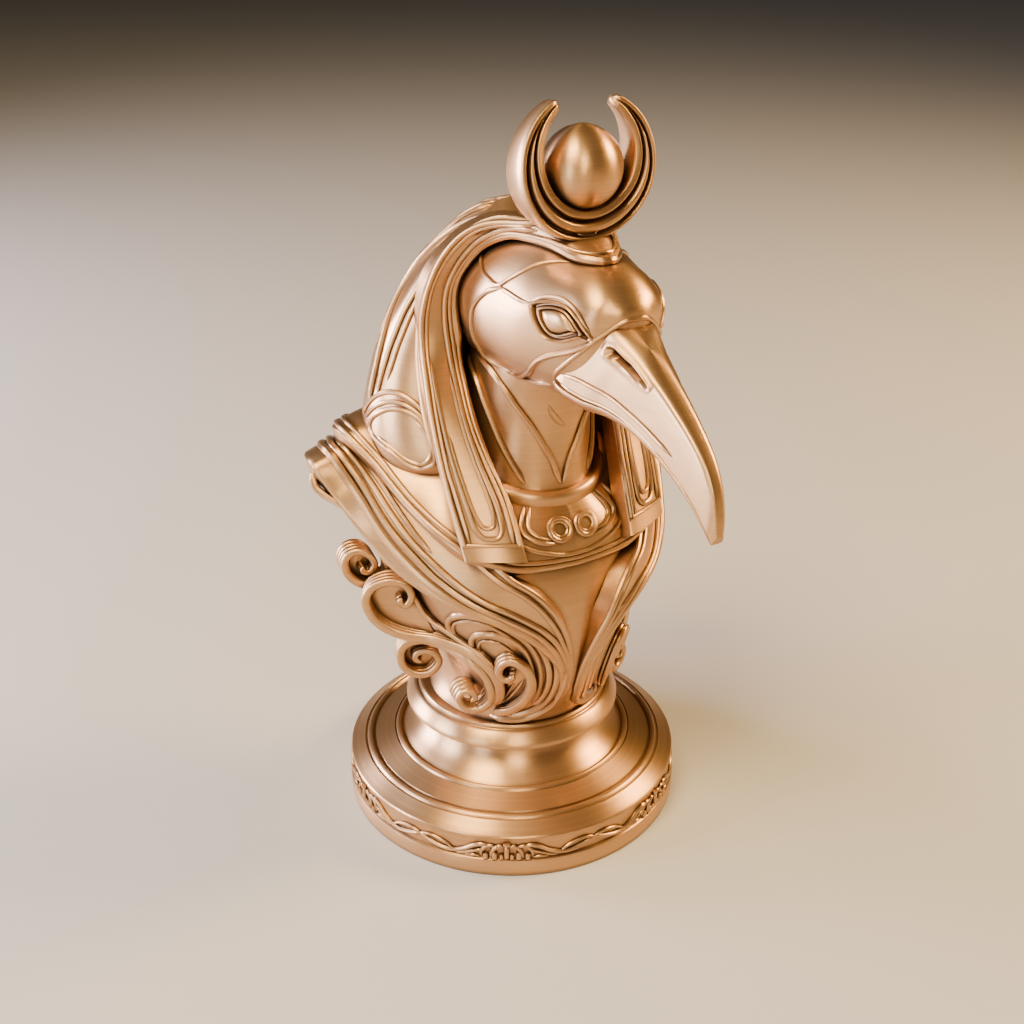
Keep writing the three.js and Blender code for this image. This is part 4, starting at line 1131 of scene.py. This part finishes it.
# Loops over each shoulder, where hood and collar meet; the way out is straight from the middle
loops = {
    "middle": (-12, 8, 108), "spacing": 0.4, "smoothing": 30, "sides": 10,
    "taper": {"over": 2, "least": 0.05, "start": 0.1},
}
loopLines = [
    {"wide": 1.3, "loop": True, "at": [
        [-35.5, 1.5, 106.6], [-34.3, -4.2, 104.8], [-32.3, -7.8, 102.5], [-30.1, -11.1, 101],
        [-28, -12.9, 102.1], [-26.7, -13.9, 103.7], [-27.3, -12.5, 108.5], [-27.3, -11.2, 110.9],
        [-29.3, -8.6, 113.6], [-31.7, -4.8, 114.3], [-34.1, -0.8, 112.6], [-35.6, 2.8, 109.1]]},
    {"wide": 1, "at": [
        [-35.1, -0.5, 106.9], [-34.2, -4.2, 106], [-32.3, -7.9, 103.7], [-30, -11.1, 102.4],
        [-28.5, -12.4, 103], [-27.6, -13.1, 104.7], [-27.1, -12.7, 107.3], [-27.8, -11.2, 110.2],
        [-29.5, -8.9, 112.5]]},
    {"wide": 1.3, "at": [[-35.6, 6.4, 109.6], [-35, 5.4, 111.6], [-33.8, 1.4, 115.8], [-31.6, -3.1, 117.7],
                         [-29.3, -7, 116.6], [-27.2, -10.3, 113.8], [-26.8, -14.6, 111.2]]},
    {"wide": 1.2, "at": [[-35.8, 4.8, 109.4], [-35.4, 3.6, 111], [-33.8, -0.3, 114.3], [-31.4, -4.4, 115.7],
                         [-29.1, -8.3, 114.6], [-27.2, -11, 112], [-27.1, -15.1, 109.9]]},
]


def makeLoops():
    shells = []
    section = roundSection(loops["sides"])
    for line in loopLines:
        loop = line.get("loop", False)
        path = smoothPath(line["at"] + line["at"][:2] if loop else line["at"], loops["spacing"])
        path = evened(outermost(path, [hoodPiece, collarPiece], loops["middle"]), loops["smoothing"])
        closing = np.ones(len(path)) if loop else taperedEnds(path, loops["spacing"], **loops["taper"])
        for flip in flips:
            out = (path - loops["middle"]) * flip
            shells.append(sweptBar(path * flip, line["wide"] / 2 * closing, out, section))
    return keep(makeMesh("shoulder_loops", shells))


makeLoops()
print("stage: hood")


# Crest: crescent, ball and foot. The crescent's rows run from its middle to a tip, as radius,
# half breadth and depth; the foot's rings are radius and height

crest = {
    "forward": -29.8, "centre": 170.6, "turn": 0.847 * math.pi, "steps": 240,
    "rows": [[12.4, 3.4, 4.6], [12.6, 3.4, 4.6], [13, 3.1, 4.4], [13.3, 2.3, 3.2], [13.4, 1.1, 1.8]],
    "tipRound": 0.045, "crown": 0.14, "edgeDrop": 0.55, "edgeWide": 0.14, "frontSteps": 57,
    "backFlat": 0.6, "backSteps": 13,
    # two grooves along the front, apart at the middle and joined at the tips
    "grooveMiddle": 0.12, "grooveShift": 0.4, "grooveBend": 2.6, "grooveFade": 0.12,
    "grooveDepth": 0.34, "grooveWide": 0.13,
    "ballRadius": 8.5, "ballHeight": 169.4, "ballPoint": 0.2, "pointWide": 0.14, "ballSteps": 90,
    "foot": [[4.6, 151], [4.6, 155], [4.4, 156.4], [3.8, 157.4]], "footDepth": 0.8,
    "turnSteps": 96, "sharp": 40,
}


def crescentShell():
    share = np.linspace(-1, 1, crest["steps"] + 1)
    far = np.abs(share)
    radius, half, deep = blendRows(crest["rows"], far).T[:, :, None]
    tip = np.clip((far - 1 + crest["tipRound"]) / crest["tipRound"], 0, 1)
    closing = roundEnd(tip, least=0.02)[:, None]
    half, deep = half * closing, deep * closing
    far = far[:, None]
    across = np.linspace(-1, 1, crest["frontSteps"])[None, :]
    edge = np.clip((np.abs(across) - 1 + crest["edgeWide"]) / crest["edgeWide"], 0, 1)
    front = (1 - crest["crown"] * across ** 2) * (1 - crest["edgeDrop"] * edge ** 2)
    spread = crest["grooveShift"] * (1 - far ** crest["grooveBend"])
    fade = crest["grooveDepth"] * np.clip((1 - far) / crest["grooveFade"], 0, 1)
    for place in (crest["grooveMiddle"] + spread, crest["grooveMiddle"] - spread):
        front = front - fade * np.exp(-((across - place) / crest["grooveWide"]) ** 2)
    back = np.linspace(1, -1, crest["backSteps"])[None, 1:-1]
    rear = crest["backFlat"] + (1 - crest["backFlat"]) * np.sqrt(1 - back ** 2)
    sideways = np.concatenate([across + 0 * far, back + 0 * far], 1)
    depth = np.concatenate([-front, rear + 0 * far], 1)
    angle = (share * crest["turn"])[:, None]
    reach = radius + half * sideways
    x, y = reach * np.sin(angle), crest["forward"] + deep * depth
    return tubeShell(np.stack([x, y, crest["centre"] - reach * np.cos(angle)], -1))


def makeCrest():
    forward = crest["forward"]
    polar = np.linspace(0, np.pi, crest["ballSteps"])[1:-1, None]
    turn = roundTurn(crest["turnSteps"])
    reach = crest["ballRadius"] * np.sin(polar)
    point = crest["ballPoint"] * np.exp(-(polar / crest["pointWide"]) ** 2)
    height = crest["ballHeight"] + (crest["ballRadius"] * np.cos(polar) + point) + 0 * turn
    ball = np.stack([reach * np.cos(turn), forward + reach * np.sin(turn), height], -1)
    foot = [np.stack([k * np.cos(turn), forward + crest["footDepth"] * k * np.sin(turn), z + 0 * turn], -1)
            for k, z in crest["foot"]]
    shells = [crescentShell(), tubeShell(ball), tubeShell(np.stack(foot))]
    return keep(makeMesh("crest", shells, crest["sharp"]))


makeCrest()
print("stage: crest")


# Leaf scrolls on each flank: swept bars with a ribbed section

scroll = {
    # the rim follows the path; rows along it are the way the rim faces, the depth of the band
    # behind it and half its breadth; a leaf plate fills the bend between two shares of the path
    "bars": [
        {"path": [[-37.6, -0.8, 81.6], [-35.7, -1.4, 76.8], [-34.3, -1.9, 72.4], [-35.4, -1.5, 69.5],
                  [-38.2, -0.5, 68], [-41.3, 0.7, 68.8], [-43.6, 1.5, 71.3], [-44.2, 1.7, 74.3],
                  [-43.1, 1.3, 76.6], [-40.8, 0.5, 77.3], [-38.6, -0.3, 76], [-37.6, -0.8, 73.6],
                  [-38.7, -0.3, 71.6], [-40.2, 0.1, 72], [-40.3, 0.2, 73.4]],
         "rows": [[-0.2, -0.98, 0, 6, 1.3], [-0.15, -0.98, 0, 6, 1.1],
                  [-0.1, -0.99, 0, 6, 0.8]], "plate": [0.3, 0.78]},
        {"path": [[-15.9, -21.4, 38.8], [-16, -23.7, 43.2], [-17.2, -24.7, 47.7], [-19.2, -24.1, 51.6],
                  [-22.1, -21.6, 54.8], [-25.4, -17.4, 56], [-29, -12.8, 56.4], [-32.8, -9.8, 56.6],
                  [-36.4, -7.4, 57.8], [-39.5, -5.6, 60.1], [-41.3, -4.5, 63.1], [-41.9, -4.1, 66.6],
                  [-40.4, -5, 69.9], [-36.9, -7.1, 71.6], [-33.6, -9, 70.9], [-32.3, -9.8, 67.9],
                  [-33.4, -9.1, 65.3], [-34.8, -8.4, 66.2], [-34.4, -8.6, 67.5]],
         "rows": [[-0.45, -0.89, 0, 3, 1.2], [-0.62, -0.78, 0, 3.4, 1.25], [-0.45, -0.89, 0, 5.5, 1.15],
                  [-0.3, -0.95, 0, 6, 0.85]], "plate": [0.4, 0.86]},
        {"path": [[-29, -6.4, 46.7], [-30.1, -5.8, 47.4], [-29.8, -6, 48.9], [-28.1, -7, 49.7],
                  [-26, -8.2, 49], [-25, -8.8, 47.2], [-25.6, -8.4, 45], [-27.5, -7.3, 43.1],
                  [-30.2, -5.8, 43], [-32.6, -4.4, 44.8], [-33.3, -4, 47.4], [-33, -4.2, 50.3],
                  [-31, -5.3, 52.4], [-28.2, -8, 53.4], [-25.1, -13.6, 53.4], [-22.6, -19, 52.4],
                  [-19.7, -22.1, 49.3], [-17.9, -22.9, 45.4], [-17.3, -22.2, 41.2], [-18.7, -21, 38.4],
                  [-20.5, -19.6, 37.3], [-22.7, -18.4, 38.1], [-24, -17.6, 40.3], [-23.1, -18.1, 42.5],
                  [-21.3, -19.2, 42.5], [-20.5, -19.6, 41.1], [-21.6, -19, 40]],
         "rows": [[-0.2, -0.98, 0, 5.5, 0.8], [-0.2, -0.98, 0, 5.5, 1], [-0.62, -0.78, 0, 3.6, 1.25],
                  [-0.2, -0.98, 0, 5.5, 1.1], [-0.1, -0.99, 0, 6, 0.8]], "plate": [0.12, 0.42]},
        {"path": [[-16.6, -20.7, 36.2], [-14.1, -23.9, 37.4], [-12.1, -27.3, 40.8], [-11.2, -30, 45],
                  [-11.6, -31.6, 50], [-13.5, -31.6, 54.1], [-16.1, -30.2, 55.8], [-17.7, -28.2, 54.2],
                  [-17.7, -26.9, 50.9], [-16.1, -27.8, 49.4], [-15.2, -29.4, 51]],
         "rows": [[-0.4, -0.92, 0, 3, 1.1], [-0.35, -0.94, 0, 4.5, 1.1],
                  [-0.25, -0.97, 0, 5, 0.85]], "plate": [0, 0]},
        {"path": [[-46.3, 8, 98], [-48.5, 6.9, 97], [-49.1, 6.2, 95.2], [-48.4, 5.4, 93.4],
                  [-46.9, 3.8, 91.9], [-45.3, 1.8, 90.8], [-43.6, 0, 89.6]],
         "rows": [[-0.3, -0.9, 0.3, 2.4, 0.7], [-0.3, -0.9, 0.3, 2.6, 0.9],
                  [-0.4, -0.85, 0.35, 2, 0.5]], "plate": [0, 0]},
        {"path": [[-33.4, -8.4, 70.6], [-31.4, -9.4, 66.8], [-29.6, -10.6, 62.6], [-27.8, -12.8, 60.4],
                  [-25.6, -16.4, 58.9], [-23.4, -19.4, 57.2], [-20.6, -22.8, 55], [-18.2, -24.6, 52]],
         "rows": [[-0.45, -0.89, 0, 3.6, 0.6], [-0.6, -0.8, 0, 3, 0.6],
                  [-0.62, -0.78, 0, 2, 0.6]], "plate": [0, 0]},
    ],
    "spacing": 0.5, "ribs": 4, "ribDepth": 0.5, "ribSteps": 7, "endRound": 1.1,
    "plateSink": 0.6, "plateThick": 0.9, "plateEvery": 3,
}


def ribbedSection():  # rim at 0, back at -1, with ribs down both flanks
    back = np.linspace(0, 1, scroll["ribs"] * scroll["ribSteps"] + 1)
    rise = 1 - scroll["ribDepth"] * (1 - np.sqrt(np.abs(np.sin(np.pi * scroll["ribs"] * back))))
    return np.concatenate([np.stack([-back, rise], 1), np.stack([-back, -rise], 1)[::-1]])


def makeScrolls():
    shells = []
    for bar in scroll["bars"]:
        for flip in flips:
            path = smoothPath(np.array(bar["path"]) * flip, scroll["spacing"])
            rows = blendRows(bar["rows"], np.linspace(0, 1, len(path)))
            ends = taperedEnds(path, scroll["spacing"], scroll["endRound"], least=0, bluntness=1)
            axis = unit(rows[:, :3] * flip)
            reach = np.stack([rows[:, 3], rows[:, 4] * roundEnd(1 - ends, least=0.04)], 1)
            shells.append(sweptBar(path, reach, axis, ribbedSection()))
            start, stop = (np.array(bar["plate"]) * len(path)).astype(int)
            if stop > start:
                rim = slice(start, stop, scroll["plateEvery"])
                edge = path[rim] - axis[rim] * (rows[rim, 3:4] * scroll["plateSink"])
                shells.append(tubeShell(np.stack([edge, edge - axis[rim] * scroll["plateThick"]])))
    return keep(makeMesh("scrolls", shells))


makeScrolls()
print("stage: scrolls")


# Camera at the photograph's angle

view = {
    "azimuth": -28.4, "elevation": 26.06, "distance": 326.3, "aim": (0, 0, 78.82), "shift": 0.08,
    "sensor": 36, "lens": 36 * 1300 / 1024,  # focal length 1300 in a picture 1024 wide
    "clipStart": 0.01,  # metres
}


def direction(azimuth, elevation):  # degrees, azimuth 0 in front of the face
    turn, rise = math.radians(azimuth), math.radians(elevation)
    return Vector((math.sin(turn) * math.cos(rise), -math.cos(turn) * math.cos(rise), math.sin(rise)))


def makeCamera():
    turn = math.radians(view["azimuth"])
    back = direction(view["azimuth"], view["elevation"])
    right = Vector((math.cos(turn), math.sin(turn), 0))
    place = Vector(view["aim"]) + right * view["shift"] + back * view["distance"]
    data = bpy.data.cameras.new("camera")
    data.sensor_width = view["sensor"]
    data.lens = view["lens"]
    data.clip_start = view["clipStart"]
    camera = addObject("camera", data)
    camera.location = place * mm
    camera.rotation_euler = (-back).to_track_quat("-Z", "Y").to_euler()
    bpy.context.scene.camera = camera


makeCamera()


# Soft studio light: discs round the bust, azimuth from the camera's, size and distance in metres

lamps = {
    "coolBack": {"azimuth": -104, "elevation": 5, "size": 0.34, "power": 20, "colour": (0.84, 0.80, 1)},
    "coolLeft": {"azimuth": -74, "elevation": 12, "size": 0.36, "power": 10, "colour": (0.80, 0.82, 1)},
    "coolFront": {"azimuth": -34, "elevation": 5, "size": 0.26, "power": 2, "colour": (0.80, 0.88, 1)},
    "warmTop": {"azimuth": -38, "elevation": 56, "size": 0.38, "power": 12, "colour": (1, 0.78, 0.42)},
    "warmFront": {"azimuth": 6, "elevation": 28, "size": 0.26, "power": 4, "colour": (1, 0.80, 0.48)},
    "warmRight": {"azimuth": 102, "elevation": 32, "size": 0.32, "power": 14, "colour": (1, 0.66, 0.28)},
}
lampDistance, lampAim = 0.9, Vector((0, 0, 90 * mm))
sun = {"azimuth": 10, "elevation": 70, "spread": 50, "strength": 0.08, "colour": (1, 0.92, 0.82)}
room = {
    "floor": (0.50, 0.47, 0.44), "floorRoughness": 0.9, "floorHalf": 3.0,
    "air": (0.80, 0.78, 0.76), "airStrength": 0.03,
}


def makeLamps():
    for name, lamp in lamps.items():
        away = direction(view["azimuth"] + lamp["azimuth"], lamp["elevation"])
        data = bpy.data.lights.new(name, "AREA")
        data.shape = "DISK"
        data.size = lamp["size"]
        data.energy = lamp["power"]
        data.color = lamp["colour"]
        made = addObject(name, data)
        made.location = away * lampDistance + lampAim
        made.rotation_euler = away.to_track_quat("Z", "Y").to_euler()
    data = bpy.data.lights.new("sun", "SUN")
    data.angle = math.radians(sun["spread"])
    data.energy = sun["strength"]
    data.color = sun["colour"]
    away = direction(view["azimuth"] + sun["azimuth"], sun["elevation"])
    addObject("sun", data).rotation_euler = away.to_track_quat("Z", "Y").to_euler()


def makeRoom():
    mesh = bpy.data.meshes.new("floor")
    half = room["floorHalf"]
    corners = [(-half, -half, 0), (half, -half, 0), (half, half, 0), (-half, half, 0)]
    mesh.from_pydata(corners, [], [(0, 1, 2, 3)])
    floor = addObject("floor", mesh)
    material = bpy.data.materials.new("paleFloor")
    material.use_nodes = True
    shader = material.node_tree.nodes["Principled BSDF"]
    shader.inputs["Base Color"].default_value = (*room["floor"], 1)
    shader.inputs["Roughness"].default_value = room["floorRoughness"]
    mesh.materials.append(material)
    world = bpy.data.worlds.new("room")
    world.use_nodes = True
    air = world.node_tree.nodes["Background"]
    air.inputs["Color"].default_value = (*room["air"], 1)
    air.inputs["Strength"].default_value = room["airStrength"]
    bpy.context.scene.world = world


makeLamps()
makeRoom()
print("stage: light and room")

for piece in finishedPieces:
    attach(piece, "root")
    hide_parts(bustNode)
print("pieces:", [(p.name, sum(len(f.vertices) - 2 for f in p.data.polygons)) for p in finishedPieces])
